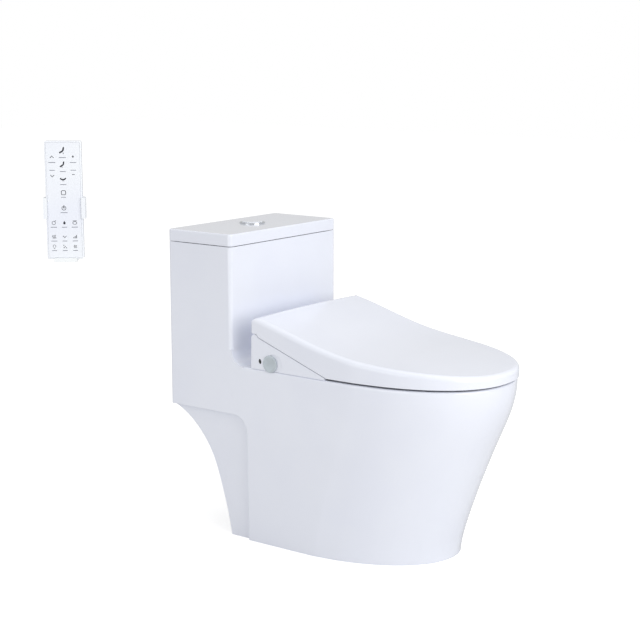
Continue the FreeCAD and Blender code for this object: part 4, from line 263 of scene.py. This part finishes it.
BUSHING_TONES = ((0.03, 0.03, 0.031), (0.05, 0.05, 0.05))
BOARD_TONES = ((0.02, 0.13, 0.06), (0.07, 0.27, 0.12))
CELL_TONES = ((0.05, 0.09, 0.16), (0.6, 0.42, 0.14))
FOIL_COLOUR = (0.6, 0.33, 0.17)

# Tracks of the circuit boards, and the heights between which the cells' wrap changes colour
TRACK_SCALE = 260.0
TRACK_OFFSET = 0.37
TRACK_GAP = 0.09
BAND_LOW = 0.7635
BAND_HIGH = 0.7645


def toned(colour, share):
    """A colour with each channel times the share, and at most 1."""
    return tuple(min(1.0, channel * share) for channel in colour)


def set_inputs(node, values):
    """Sets a node's inputs by their names, which have _ for a space."""
    for label, value in values.items():
        node.inputs[label.replace("_", " ")].default_value = value


class Finish:
    """One material under construction: its Principled shader and short ways to feed it."""

    def __init__(self, name, roughness, metallic=0.0, **plain):
        self.material = bpy.data.materials.new(name)
        self.material.use_nodes = True
        self.tree = self.material.node_tree
        self.shader = self.tree.nodes["Principled BSDF"]
        set_inputs(self.shader, {"Roughness": roughness, "Metallic": metallic, **plain})

    def group(self, name, **values):
        """A node of the named group, which is made at its first use."""
        if name not in bpy.data.node_groups:
            GROUP_MAKERS[name]()
        node = self.tree.nodes.new("ShaderNodeGroup")
        node.node_tree = bpy.data.node_groups[name]
        set_inputs(node, values)
        return node

    def tones(self, mask, first, second):
        """Base colour that goes from the first colour to the second by the mask."""
        mix = self.tree.nodes.new("ShaderNodeMix")
        mix.data_type = "RGBA"
        mix.inputs[MIX_FIRST].default_value = (*first, 1.0)
        mix.inputs[MIX_SECOND].default_value = (*second, 1.0)
        self.tree.links.new(mask, mix.inputs[MIX_MASK])
        self.tree.links.new(mix.outputs[MIX_RESULT], self.shader.inputs["Base Color"])

    def rough_between(self, mask, low, high):
        """Roughness that goes from low to high by the mask."""
        step = self.tree.nodes.new("ShaderNodeMapRange")
        step.inputs["To Min"].default_value = low
        step.inputs["To Max"].default_value = high
        self.tree.links.new(mask, step.inputs["Value"])
        self.tree.links.new(step.outputs["Result"], self.shader.inputs["Roughness"])

    def relief(self, height, depth, normal=None):
        """Bump of the given depth, laid over the given normal."""
        bump = self.tree.nodes.new("ShaderNodeBump")
        bump.inputs["Strength"].default_value = 1.0
        bump.inputs["Distance"].default_value = depth
        self.tree.links.new(height, bump.inputs["Height"])
        if normal:
            self.tree.links.new(normal, bump.inputs["Normal"])
        self.tree.links.new(bump.outputs["Normal"], self.shader.inputs["Normal"])


def glazed(name, settings):
    """Fired glaze: slow waves, orange peel, and a second tone where it lies thicker."""
    finish = Finish(name, settings.roughness, IOR=1.52, Coat_Weight=0.6, Coat_Roughness=0.04)
    waves = finish.group("glaze_waves", Wave_Scale=7.0, Peel_Scale=240.0)
    edges = finish.group("soft_edges", Radius=settings.edge)
    pooling = waves.outputs["Pooling"]
    finish.tones(pooling, settings.glaze, settings.pooled)
    finish.rough_between(pooling, settings.roughness, settings.roughness + POOLING_ROUGHNESS)
    finish.relief(waves.outputs["Height"], settings.ripple, edges.outputs["Normal"])
    return finish.material


def moulded(name, first, second, roughness, grain=FINE_GRAIN, edge=MOULDED_EDGE, coat=0.0):
    """Moulded plastic or rubber: grain, a slow change of tone and softened edges."""
    finish = Finish(name, roughness, IOR=1.49, Coat_Weight=coat, Coat_Roughness=0.06)
    grains = finish.group("moulded_grain", Grain_Scale=900.0, Tone_Scale=6.0)
    edges = finish.group("soft_edges", Radius=edge)
    finish.tones(grains.outputs["Tone"], first, second)
    finish.rough_between(grains.outputs["Height"], max(roughness - GRAIN_ROUGHNESS, LEAST_ROUGHNESS),
                         roughness + GRAIN_ROUGHNESS)
    finish.relief(grains.outputs["Height"], grain, edges.outputs["Normal"])
    return finish.material


def metal(name, colour, roughness, streak, streak_scale=120.0):
    """Drawn or brushed metal, with streaks of the given strength from 0 to 1."""
    finish = Finish(name, roughness, metallic=1.0)
    streaks = finish.group("drawn_streaks", Streak_Scale=streak_scale)
    edges = finish.group("soft_edges", Radius=METAL_EDGE)
    finish.tones(streaks.outputs["Streak"], colour, toned(colour, 1.0 - STREAK_SHADE * streak))
    finish.rough_between(streaks.outputs["Streak"], roughness, roughness + STREAK_ROUGHNESS * streak)
    finish.relief(streaks.outputs["Height"], FINE_GRAIN + STREAK_DEPTH * streak, edges.outputs["Normal"])
    return finish.material


def clear_dial(name, colour):
    """Frosted grey plastic that lets some light in."""
    finish = Finish(name, roughness=0.22, IOR=1.46, Transmission_Weight=0.25, Coat_Weight=0.5)
    grains = finish.group("moulded_grain", Grain_Scale=500.0, Tone_Scale=60.0)
    edges = finish.group("soft_edges", Radius=DIAL_EDGE)
    finish.tones(grains.outputs["Tone"], colour, toned(colour, 1.15))
    finish.rough_between(grains.outputs["Height"], low=0.18, high=0.28)
    finish.relief(grains.outputs["Height"], SATIN_GRAIN, edges.outputs["Normal"])
    return finish.material


def circuit_board(name):
    """Green solder mask with paler tracks."""
    finish = Finish(name, roughness=0.35, IOR=1.5)
    tracks = finish.tree.nodes.new("ShaderNodeTexBrick")
    tracks.offset = TRACK_OFFSET
    tracks.inputs["Scale"].default_value = TRACK_SCALE
    tracks.inputs["Mortar Size"].default_value = TRACK_GAP
    place = finish.tree.nodes.new("ShaderNodeTexCoord")
    finish.tree.links.new(place.outputs["Object"], tracks.inputs["Vector"])
    finish.tones(tracks.outputs["Fac"], *BOARD_TONES)
    finish.relief(tracks.outputs["Fac"], TRACK_HEIGHT)
    return finish.material


def cell_wrap(name):
    """Printed wrap of a battery cell: a plain band at one end."""
    finish = Finish(name, roughness=0.3, metallic=0.4, Coat_Weight=0.4)
    place = finish.tree.nodes.new("ShaderNodeTexCoord")
    split = finish.tree.nodes.new("ShaderNodeSeparateXYZ")
    finish.tree.links.new(place.outputs["Object"], split.inputs["Vector"])
    band = soft_step(finish.tree, split.outputs["Z"], BAND_LOW, BAND_HIGH)
    finish.tones(band, *CELL_TONES)
    grains = finish.group("moulded_grain", Grain_Scale=700.0)
    finish.relief(grains.outputs["Height"], FINE_GRAIN)
    return finish.material


def paint(material, *names):
    """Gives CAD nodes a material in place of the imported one."""
    for name in names:
        slots = NODES[name].data.materials
        slots.clear()
        slots.append(material)


# ---- small shapes for the remote's signs ---------------------------------------------------------
INK_SUNK = 0.00005             # how far the printed areas reach into the face


def in_scene(name, data):
    """A new object of the scene."""
    item = bpy.data.objects.new(name, data)
    bpy.context.scene.collection.objects.link(item)
    return item


def mesh_data(name, mesh, material):
    """Mesh data with one material, from a bmesh that isn't needed after."""
    data = bpy.data.meshes.new(name)
    mesh.to_mesh(data)
    mesh.free()
    data.materials.append(material)
    return data


def in_remote(x, z, depth):
    """A point before the wall, from the remote's middle line and its foot, in the row frame."""
    turned = Matrix.Rotation(REMOTE_TURN, 3, "Z") @ Vector((x, -depth, z))
    return turned + REMOTE_FOOT


def ring_points(x, z, radius, start=0.0, end=360.0, steps=28, squash=1.0):
    """Points of an arc about a middle, from one angle in degrees to another."""
    points = []
    for i in range(steps + 1):
        angle = math.radians(start + (end - start) * i / steps)
        points.append((x + radius * math.cos(angle), z + squash * radius * math.sin(angle)))
    return points


def stroke(points, width, closed=False):
    """Outline quads of a drawn line of the given width."""
    count = len(points)
    offsets = []
    for i in range(count):
        before = points[i - 1] if (i or closed) else points[i]
        after = points[(i + 1) % count] if (i < count - 1 or closed) else points[i]
        along = Vector((after[0] - before[0], after[1] - before[1]))
        along = along.normalized() if along.length else Vector((1.0, 0.0))
        offsets.append(Vector((-along.y, along.x)) * width / 2)
    quads = []
    last = count if closed else count - 1
    for i in range(last):
        j = (i + 1) % count
        a, b = Vector(points[i]), Vector(points[j])
        quads.append([a - offsets[i], b - offsets[j], b + offsets[j], a + offsets[i]])
    return quads


def plate(outlines, depth):
    """A mesh of thin printed areas on the remote's face."""
    mesh = bmesh.new()
    for outline in outlines:
        low = [mesh.verts.new(in_remote(p[0], p[1], REMOTE_FACE - INK_SUNK)) for p in outline]
        high = [mesh.verts.new(in_remote(p[0], p[1], REMOTE_FACE + depth)) for p in outline]
        mesh.faces.new(high)
        mesh.faces.new(list(reversed(low)))
        for i in range(len(outline)):
            j = (i + 1) % len(outline)
            mesh.faces.new([low[i], low[j], high[j], high[i]])
    bmesh.ops.recalc_face_normals(mesh, faces=mesh.faces)
    return mesh


def added(name, mesh, material, body):
    """A piece that the solids don't have, riding on a body."""
    piece = in_scene(name, mesh_data(name, mesh, material))
    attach(piece, body)


def moved(shapes, x, z, size):
    """Outlines drawn about the origin, scaled and moved to their place."""
    return [[(x + p[0] * size, z + p[1] * size) for p in outline] for outline in shapes]


# Each sign is drawn about its middle, x to the right and z up, in a square of about 1 by 1.
def sign_chevron(up):
    tip = 0.22 if up else -0.22
    return stroke([(-0.4, -tip), (0.0, tip), (0.4, -tip)], width=0.15)


def sign_cross():
    return stroke([(-0.3, 0), (0.3, 0)], width=0.17) + stroke([(0, -0.3), (0, 0.3)], width=0.17)


def sign_bar():
    return stroke([(-0.32, 0), (0.32, 0)], width=0.17)


def sign_stop():
    corners = []
    for cx, cz, start in ((0.2, 0.2, 0), (-0.2, 0.2, 90), (-0.2, -0.2, 180), (0.2, -0.2, 270)):
        corners += ring_points(cx, cz, 0.24, start, start + 90, steps=6)
    return stroke(corners, width=0.13, closed=True)


def sign_wash(lean):
    """A slanted figure with a dot above it and a jet below."""
    figure = stroke([(-0.5, -0.34), (-0.1, -0.12), (0.12, 0.06), (0.2, 0.5)], width=0.26)
    jet = [[(lean - 0.06, -0.52), (lean + 0.06, -0.52), (lean + 0.04, -0.3), (lean - 0.04, -0.3)]]
    return figure + jet + [ring_points(0.22, 0.55, 0.1, steps=12)[:-1]]


def sign_dry():
    """A basin with a puff of warm air under it."""
    basin = stroke([(-0.5, 0.16), (-0.26, -0.06), (0.24, -0.06), (0.5, 0.18)], width=0.24)
    return basin + stroke([(-0.16, -0.34), (0.0, -0.24), (0.16, -0.34)], width=0.08)


def sign_power():
    arc = stroke(ring_points(0, -0.06, 0.4, start=125, end=415), width=0.11)
    return arc + stroke([(0, -0.1), (0, 0.46)], width=0.22)


def sign_ring_tab():
    ring = stroke(ring_points(0, -0.04, 0.36, steps=24)[:-1], width=0.09, closed=True)
    return ring + stroke([(0.2, 0.26), (0.46, 0.5)], width=0.12)


def sign_seat():
    ring = stroke(ring_points(0, -0.05, 0.42, steps=24, squash=0.72)[:-1], width=0.1, closed=True)
    return ring + stroke([(-0.42, 0.4), (0.42, 0.4)], width=0.1)


def sign_waves():
    shapes = []
    for x in (-0.28, 0.0, 0.28):
        points = [(x + 0.1 * math.sin(i * 0.9), -0.4 + i * 0.1) for i in range(9)]
        shapes += stroke(points, width=0.1)
    return shapes


def sign_lamp():
    bulb = stroke(ring_points(0, 0.12, 0.34, start=-60, end=240), width=0.09)
    collar = stroke([(-0.14, -0.36), (0.14, -0.36)], width=0.1)
    return bulb + collar + stroke([(-0.1, -0.5), (0.1, -0.5)], width=0.08)


def sign_bars():
    shapes = []
    for i, height in enumerate((0.3, 0.55, 0.8)):
        x = -0.34 + 0.34 * i
        shapes += stroke([(x, -0.4), (x, -0.4 + height)], width=0.18)
    return shapes


def sign_drop():
    round_part = ring_points(0.0, -0.12, 0.3, start=15, end=-195, steps=18)
    return [[(0.0, 0.5), (0.26, 0.02)] + round_part + [(-0.26, 0.02)]]


def sign_dots():
    shapes = []
    for x, z in ((-0.3, 0.3), (0.05, 0.02), (0.36, -0.3), (-0.24, -0.26)):
        shapes.append(ring_points(x, z, 0.13, steps=12)[:-1])
    return shapes


# Columns of the face, as shares of its width from the middle line
LEFT = -0.3
MIDDLE = -0.01
RIGHT = 0.275

# Signs: drawing, its values, column, share of the face's height from its foot, size against the sign size
SIGNS = [
    (sign_wash, (0.16,), MIDDLE, 0.918, 1.25),
    (sign_wash, (-0.1,), MIDDLE, 0.8, 1.15),
    (sign_dry, (), MIDDLE, 0.68, 1.2),
    (sign_stop, (), MIDDLE, 0.565, 1.0),
    (sign_power, (), MIDDLE, 0.437, 1.05),
    (sign_chevron, (True,), LEFT, 0.867, 0.95),
    (sign_chevron, (False,), LEFT, 0.707, 0.95),
    (sign_cross, (), RIGHT, 0.869, 0.8),
    (sign_bar, (), RIGHT, 0.718, 0.8),
    (sign_ring_tab, (), LEFT, 0.31, 1.0),
    (sign_drop, (), MIDDLE, 0.31, 0.85),
    (sign_seat, (), RIGHT, 0.31, 1.0),
    (sign_waves, (), LEFT, 0.19, 0.95),
    (sign_chevron, (False,), MIDDLE, 0.19, 0.9),
    (sign_bars, (), RIGHT, 0.19, 0.85),
    (sign_lamp, (), LEFT, 0.106, 0.85),
    (sign_dots, (), MIDDLE, 0.106, 0.85),
    (sign_waves, (), RIGHT, 0.106, 0.8),
]

# Label bars under or over the signs: column, share of the face's height from its foot, length
LABEL_HEIGHT = 0.0012
LABELS = [
    (MIDDLE, 0.862, 0.013), (MIDDLE, 0.744, 0.011), (MIDDLE, 0.634, 0.012), (MIDDLE, 0.527, 0.009),
    (MIDDLE, 0.396, 0.013), (LEFT, 0.82, 0.013), (LEFT, 0.755, 0.01), (RIGHT, 0.82, 0.012),
    (RIGHT, 0.755, 0.01), (LEFT, 0.272, 0.012), (MIDDLE, 0.272, 0.01), (RIGHT, 0.272, 0.012),
    (LEFT, 0.154, 0.011), (MIDDLE, 0.154, 0.009), (RIGHT, 0.154, 0.01), (LEFT, 0.072, 0.009),
    (MIDDLE, 0.072, 0.009), (RIGHT, 0.072, 0.009),
]


def label_outline(across, up, length):
    """Corners of a label bar on the face."""
    x = across * REMOTE_WIDTH
    z = up * REMOTE_HEIGHT
    low, high = z - LABEL_HEIGHT / 2, z + LABEL_HEIGHT / 2
    return [(x - length / 2, low), (x + length / 2, low), (x + length / 2, high), (x - length / 2, high)]


# ---- operators -----------------------------------------------------------------------------------
class PieceOperator(bpy.types.Operator):
    """One step of the finish, which can be undone"""
    bl_options = {"REGISTER", "UNDO"}


class TOILET_OT_ceramic(PieceOperator):
    """Glaze the one-piece body and the tank lid"""
    bl_idname = "toilet.glaze_ceramic"
    bl_label = "Glaze ceramic"

    def execute(self, context):
        settings = context.scene.toilet_ceramic
        paint(glazed("fired_glaze", settings), "ceramic_body", "tank_lid")
        return {"FINISHED"}


class TOILET_OT_flush(PieceOperator):
    """Finish the flush button and its chrome housing"""
    bl_idname = "toilet.finish_flush_button"
    bl_label = "Finish flush button"

    def execute(self, context):
        plastic = context.scene.toilet_plastic
        metals = context.scene.toilet_metal
        paint(metal("chrome_ring", metals.chrome, roughness=0.06, streak=0.1, streak_scale=30.0),
              "flush_button_housing")
        button = moulded("button_gloss", toned(plastic.shell, 1.04), plastic.shell, roughness=0.12,
                         coat=0.6)
        paint(button, "flush_button_full", "flush_button_half")
        paint(moulded("nut_plastic", *NUT_TONES, roughness=0.45), "flush_housing_nut")
        return {"FINISHED"}


class TOILET_OT_tank_works(PieceOperator):
    """Finish the valves inside the tank"""
    bl_idname = "toilet.finish_tank_works"
    bl_label = "Finish tank works"

    def execute(self, context):
        white = moulded("valve_plastic", *VALVE_TONES, roughness=0.42, grain=PLAIN_GRAIN)
        grey = moulded("lever_plastic", *LEVER_TONES, roughness=0.45, grain=PLAIN_GRAIN)
        blue = moulded("float_plastic", *FLOAT_TONES, roughness=0.4, grain=PLAIN_GRAIN)
        rubber = moulded("black_rubber", *SEAL_TONES, roughness=0.72, grain=RUBBER_GRAIN)
        paint(white, "flush_valve_tower", "fill_valve_body", "fill_valve_nut")
        paint(grey, "flush_valve_plunger", "flush_rocker", "fill_valve_lever")
        paint(blue, "fill_valve_float")
        paint(rubber, "flush_valve_gasket", "flush_valve_seal", "outlet_seal")
        paint(moulded("soft_tube", *TUBE_TONES, roughness=0.5, grain=SOFT_GRAIN), "refill_tube")
        return {"FINISHED"}


class TOILET_OT_unit(PieceOperator):
    """Finish the case of the washing unit, its window and its release button"""
    bl_idname = "toilet.finish_unit_case"
    bl_label = "Finish unit case"

    def execute(self, context):
        settings = context.scene.toilet_plastic
        case = moulded("case_gloss", settings.shell, settings.shade, settings.roughness, settings.grain,
                       settings.edge, coat=0.3)
        paint(case, "unit_upper_case", "release_button")
        paint(moulded("case_satin", *LOWER_CASE_TONES, roughness=0.38), "unit_lower_case")
        window = moulded("window_gloss", settings.window, toned(settings.window, 1.6), roughness=0.07,
                         coat=0.8)
        paint(window, "indicator_window")
        return {"FINISHED"}


class TOILET_OT_dial(PieceOperator):
    """Finish the side dial and the filter behind it"""
    bl_idname = "toilet.finish_dial"
    bl_label = "Finish dial"

    def execute(self, context):
        settings = context.scene.toilet_plastic
        paint(clear_dial("clear_grey", settings.dial), "drain_dial")
        paint(moulded("filter_plastic", *FILTER_TONES, roughness=0.4), "filter_cartridge")
        return {"FINISHED"}


class TOILET_OT_washing_works(PieceOperator):
    """Finish the heater, valves, fans, wand drive and boards inside the unit"""
    bl_idname = "toilet.finish_washing_works"
    bl_label = "Finish washing works"

    def execute(self, context):
        metals = context.scene.toilet_metal
        plastic = context.scene.toilet_plastic
        black = moulded("works_black", *BLACK_WORKS_TONES, roughness=0.45, grain=PLAIN_GRAIN)
        white = moulded("works_white", *WHITE_WORKS_TONES, roughness=0.42, grain=PLAIN_GRAIN)
        grey = moulded("works_grey", *GREY_WORKS_TONES, roughness=0.42, grain=PLAIN_GRAIN)
        paint(black, "cord_gland", "solenoid_valve", "dryer_housing", "deodoriser_housing", "seat_damper",
              "lid_damper")
        paint(white, "flow_valve", "wand_guide", "dryer_impeller", "deodoriser_impeller")
        paint(grey, "water_heater", "wand_pinion")
        paint(moulded("wand_gloss", plastic.shell, plastic.shade, roughness=0.16, coat=0.4), "spray_wand")
        paint(metal("motor_steel", metals.steel, roughness=0.35, streak=metals.streak), "wand_motor")
        paint(metal("inlet_brass", metals.brass, roughness=0.3, streak=0.2, streak_scale=80.0),
              "water_inlet_port")
        paint(circuit_board("solder_mask"), "circuit_board", "remote_board")
        return {"FINISHED"}


class TOILET_OT_seat(PieceOperator):
    """Finish the heated seat, the lid and their buffers"""
    bl_idname = "toilet.finish_seat_and_lid"
    bl_label = "Finish seat and lid"

    def execute(self, context):
        settings = context.scene.toilet_plastic
        lid = moulded("lid_gloss", settings.shell, settings.shade, settings.roughness, settings.grain,
                      LID_EDGE, coat=0.4)
        seat = moulded("seat_gloss", toned(settings.shell, 0.99), settings.shade, settings.roughness + 0.04,
                       settings.grain, SEAT_EDGE, coat=0.3)
        paint(lid, "lid_shell")
        paint(seat, "seat_top_shell", "seat_bottom_shell")
        paint(moulded("buffer_rubber", *BUFFER_TONES, roughness=0.6, grain=BUFFER_GRAIN),
              "seat_bumpers", "lid_bumpers")
        foil = metal("heater_foil", FOIL_COLOUR, roughness=0.35, streak=0.5, streak_scale=200.0)
        paint(foil, "seat_heater")
        return {"FINISHED"}


class TOILET_OT_fixings(PieceOperator):
    """Finish the plates, bolts, screws, pins and bushings"""
    bl_idname = "toilet.finish_fixings"
    bl_label = "Finish fixings"

    def execute(self, context):
        metals = context.scene.toilet_metal
        steel = metal("drawn_steel", metals.steel, roughness=0.3, streak=metals.streak)
        paint(steel, "base_plate", "mount_bolts", "case_screws", "bracket_screws", "hinge_pins")
        paint(moulded("bracket_plastic", *BRACKET_TONES, roughness=0.5, grain=SOFT_GRAIN),
              "floor_brackets")
        paint(moulded("bushing_rubber", *BUSHING_TONES, roughness=0.7, grain=RUBBER_GRAIN),
              "mount_bushings")
        return {"FINISHED"}


class TOILET_OT_remote(PieceOperator):
    """Finish the remote and its wall holder"""
    bl_idname = "toilet.finish_remote"
    bl_label = "Finish remote"

    def execute(self, context):
        settings = context.scene.toilet_plastic
        pale = toned(settings.shell, 1.06)
        shell = moulded("remote_gloss", pale, settings.shell, roughness=0.24, coat=0.2)
        paint(shell, "remote_front", "remote_back", "battery_cover")
        holder = moulded("holder_gloss", toned(settings.shell, 1.1), toned(settings.shell, 1.05),
                         roughness=0.28)
        paint(holder, "remote_holder")
        keypad = moulded("keypad_satin", pale, settings.shell, roughness=0.34, grain=SATIN_GRAIN)
        paint(keypad, "remote_keypad")
        paint(cell_wrap("battery_wrap"), "batteries")
        return {"FINISHED"}


class TOILET_OT_signs(PieceOperator):
    """Print plain signs on the remote's keypad"""
    bl_idname = "toilet.print_remote_signs"
    bl_label = "Print remote signs"

    def execute(self, context):
        settings = context.scene.toilet_print
        ink = moulded("printed_ink", settings.ink, toned(settings.ink, 1.5), roughness=0.4, edge=PRINT_EDGE)
        outlines = []
        for drawing, values, across, up, size in SIGNS:
            outlines += moved(drawing(*values), across * REMOTE_WIDTH, up * REMOTE_HEIGHT,
                              size * settings.size)
        added("remote_signs", plate(outlines, settings.depth), ink, "remote")
        grey = moulded("printed_grey", settings.label, toned(settings.label, 1.15), roughness=0.45,
                       edge=PRINT_EDGE)
        bars = [label_outline(*label) for label in LABELS]
        added("remote_labels", plate(bars, settings.depth), grey, "remote")
        return {"FINISHED"}


class TOILET_OT_stage(PieceOperator):
    """Set up the floor, the lamps, the world and the camera"""
    bl_idname = "toilet.set_stage"
    bl_label = "Set stage"

    def execute(self, context):
        settings = context.scene.toilet_studio
        make_floor(settings)
        make_world(context.scene, settings)
        make_lamps(settings)
        make_camera(context.scene, settings)
        context.scene.view_settings.view_transform = "Standard"
        return {"FINISHED"}


# ---- stage ---------------------------------------------------------------------------------------
CAMERA_PLACE = (-2.7359, -2.0395, 1.1259)
CAMERA_FORWARD = (0.7866, 0.5894, -0.1840)
SENSOR_WIDTH = 36.0
FLOOR_HALF = 12.0
FLOOR_GLOW = 0.62              # that only the camera sees, so that the floor is as pale as the background
WHITE = (1.0, 1.0, 1.0, 1.0)

# Size, place and aim of each lamp
KEY_LAMP = ((2.8, 2.2), (-0.5, -3.2, 1.4), (0.0, 0.0, 0.4))
FILL_LAMP = ((2.0, 2.0), (-3.0, 0.4, 1.0), (0.0, 0.1, 0.4))
TOP_LAMP = ((3.0, 3.0), (0.0, -0.3, 3.2), (0.0, -0.2, 0.4))


def stand(item, place, direction):
    """Puts a lamp or the camera in its place, looking along a direction."""
    item.location = place
    item.rotation_mode = "QUATERNION"
    item.rotation_quaternion = direction.to_track_quat("-Z", "Y")


def pale_floor(settings):
    """Matt floor that glows a little for the camera alone."""
    material = bpy.data.materials.new("pale_floor")
    material.use_nodes = True
    tree = material.node_tree
    shader = tree.nodes["Principled BSDF"]
    shader.inputs["Base Color"].default_value = (*settings.floor, 1.0)
    shader.inputs["Roughness"].default_value = 1.0
    shader.inputs["Specular IOR Level"].default_value = 0.0
    shader.inputs["Emission Color"].default_value = WHITE
    rays = tree.nodes.new("ShaderNodeLightPath")
    glow = combined(tree, "MULTIPLY", rays.outputs["Is Camera Ray"], FLOOR_GLOW)
    tree.links.new(glow, shader.inputs["Emission Strength"])
    return material


def make_floor(settings):
    mesh = bmesh.new()
    corners = [(-FLOOR_HALF, -FLOOR_HALF), (FLOOR_HALF, -FLOOR_HALF), (FLOOR_HALF, FLOOR_HALF),
               (-FLOOR_HALF, FLOOR_HALF)]
    mesh.faces.new([mesh.verts.new((x, y, 0.0)) for x, y in corners])
    floor = in_scene("studio_floor", mesh_data("studio_floor", mesh, pale_floor(settings)))


def make_world(scene, settings):
    """White background for the camera and through clear pieces, and a dimmer light all round."""
    world = bpy.data.worlds.new("studio_world")
    scene.world = world
    world.use_nodes = True
    tree = world.node_tree
    background = tree.nodes["Background"]
    background.inputs["Color"].default_value = WHITE
    rays = tree.nodes.new("ShaderNodeLightPath")
    seen = combined(tree, "MAXIMUM", rays.outputs["Is Camera Ray"], rays.outputs["Is Transmission Ray"])
    level = tree.nodes.new("ShaderNodeMapRange")
    level.inputs["To Min"].default_value = settings.world
    level.inputs["To Max"].default_value = 1.0
    tree.links.new(seen, level.inputs["Value"])
    tree.links.new(level.outputs["Result"], background.inputs["Strength"])


def add_lamp(name, power, size, place, target):
    lamp = bpy.data.lights.new(name, "AREA")
    lamp.shape = "RECTANGLE"
    lamp.size, lamp.size_y = size
    lamp.energy = power
    stand(in_scene(name, lamp), place, Vector(target) - Vector(place))


def make_lamps(settings):
    add_lamp("key_lamp", settings.key, *KEY_LAMP)
    add_lamp("fill_lamp", settings.fill, *FILL_LAMP)
    add_lamp("top_lamp", settings.top, *TOP_LAMP)


def make_camera(scene, settings):
    data = bpy.data.cameras.new("studio_camera")
    data.sensor_width = SENSOR_WIDTH
    data.lens = settings.lens
    camera = in_scene("studio_camera", data)
    stand(camera, CAMERA_PLACE, Vector(CAMERA_FORWARD))
    scene.camera = camera


# ---- panel and registration ----------------------------------------------------------------------
STEPS = (TOILET_OT_ceramic, TOILET_OT_flush, TOILET_OT_tank_works, TOILET_OT_unit, TOILET_OT_dial,
         TOILET_OT_washing_works, TOILET_OT_seat, TOILET_OT_fixings, TOILET_OT_remote, TOILET_OT_signs,
         TOILET_OT_stage)
SETTINGS = (("toilet_ceramic", CeramicSettings), ("toilet_plastic", PlasticSettings),
            ("toilet_metal", MetalSettings), ("toilet_print", PrintSettings),
            ("toilet_studio", StudioSettings))


class TOILET_PT_panel(bpy.types.Panel):
    """Settings and steps of the toilet's finish"""
    bl_idname = "TOILET_PT_panel"
    bl_label = "Toilet"
    bl_space_type = "VIEW_3D"
    bl_region_type = "UI"
    bl_category = "Toilet"

    def draw(self, context):
        for attribute, kind in SETTINGS:
            box = self.layout.box()
            for label in kind.__annotations__:
                box.prop(getattr(context.scene, attribute), label)
        for step in STEPS:
            self.layout.operator(step.bl_idname)


def register():
    for attribute, kind in SETTINGS:
        bpy.utils.register_class(kind)
        setattr(bpy.types.Scene, attribute, bpy.props.PointerProperty(type=kind))
    for kind in (*STEPS, TOILET_PT_panel):
        bpy.utils.register_class(kind)


def unregister():
    for kind in (TOILET_PT_panel, *reversed(STEPS)):
        bpy.utils.unregister_class(kind)
    for attribute, kind in reversed(SETTINGS):
        delattr(bpy.types.Scene, attribute)
        bpy.utils.unregister_class(kind)


def main():
    register()
    bpy.ops.toilet.glaze_ceramic()
    bpy.ops.toilet.finish_flush_button()
    bpy.ops.toilet.finish_tank_works()
    bpy.ops.toilet.finish_unit_case()
    bpy.ops.toilet.finish_dial()
    bpy.ops.toilet.finish_washing_works()
    bpy.ops.toilet.finish_seat_and_lid()
    bpy.ops.toilet.finish_fixings()
    bpy.ops.toilet.finish_remote()
    bpy.ops.toilet.print_remote_signs()
    bpy.ops.toilet.set_stage()


if __name__ == "__main__":
    main()
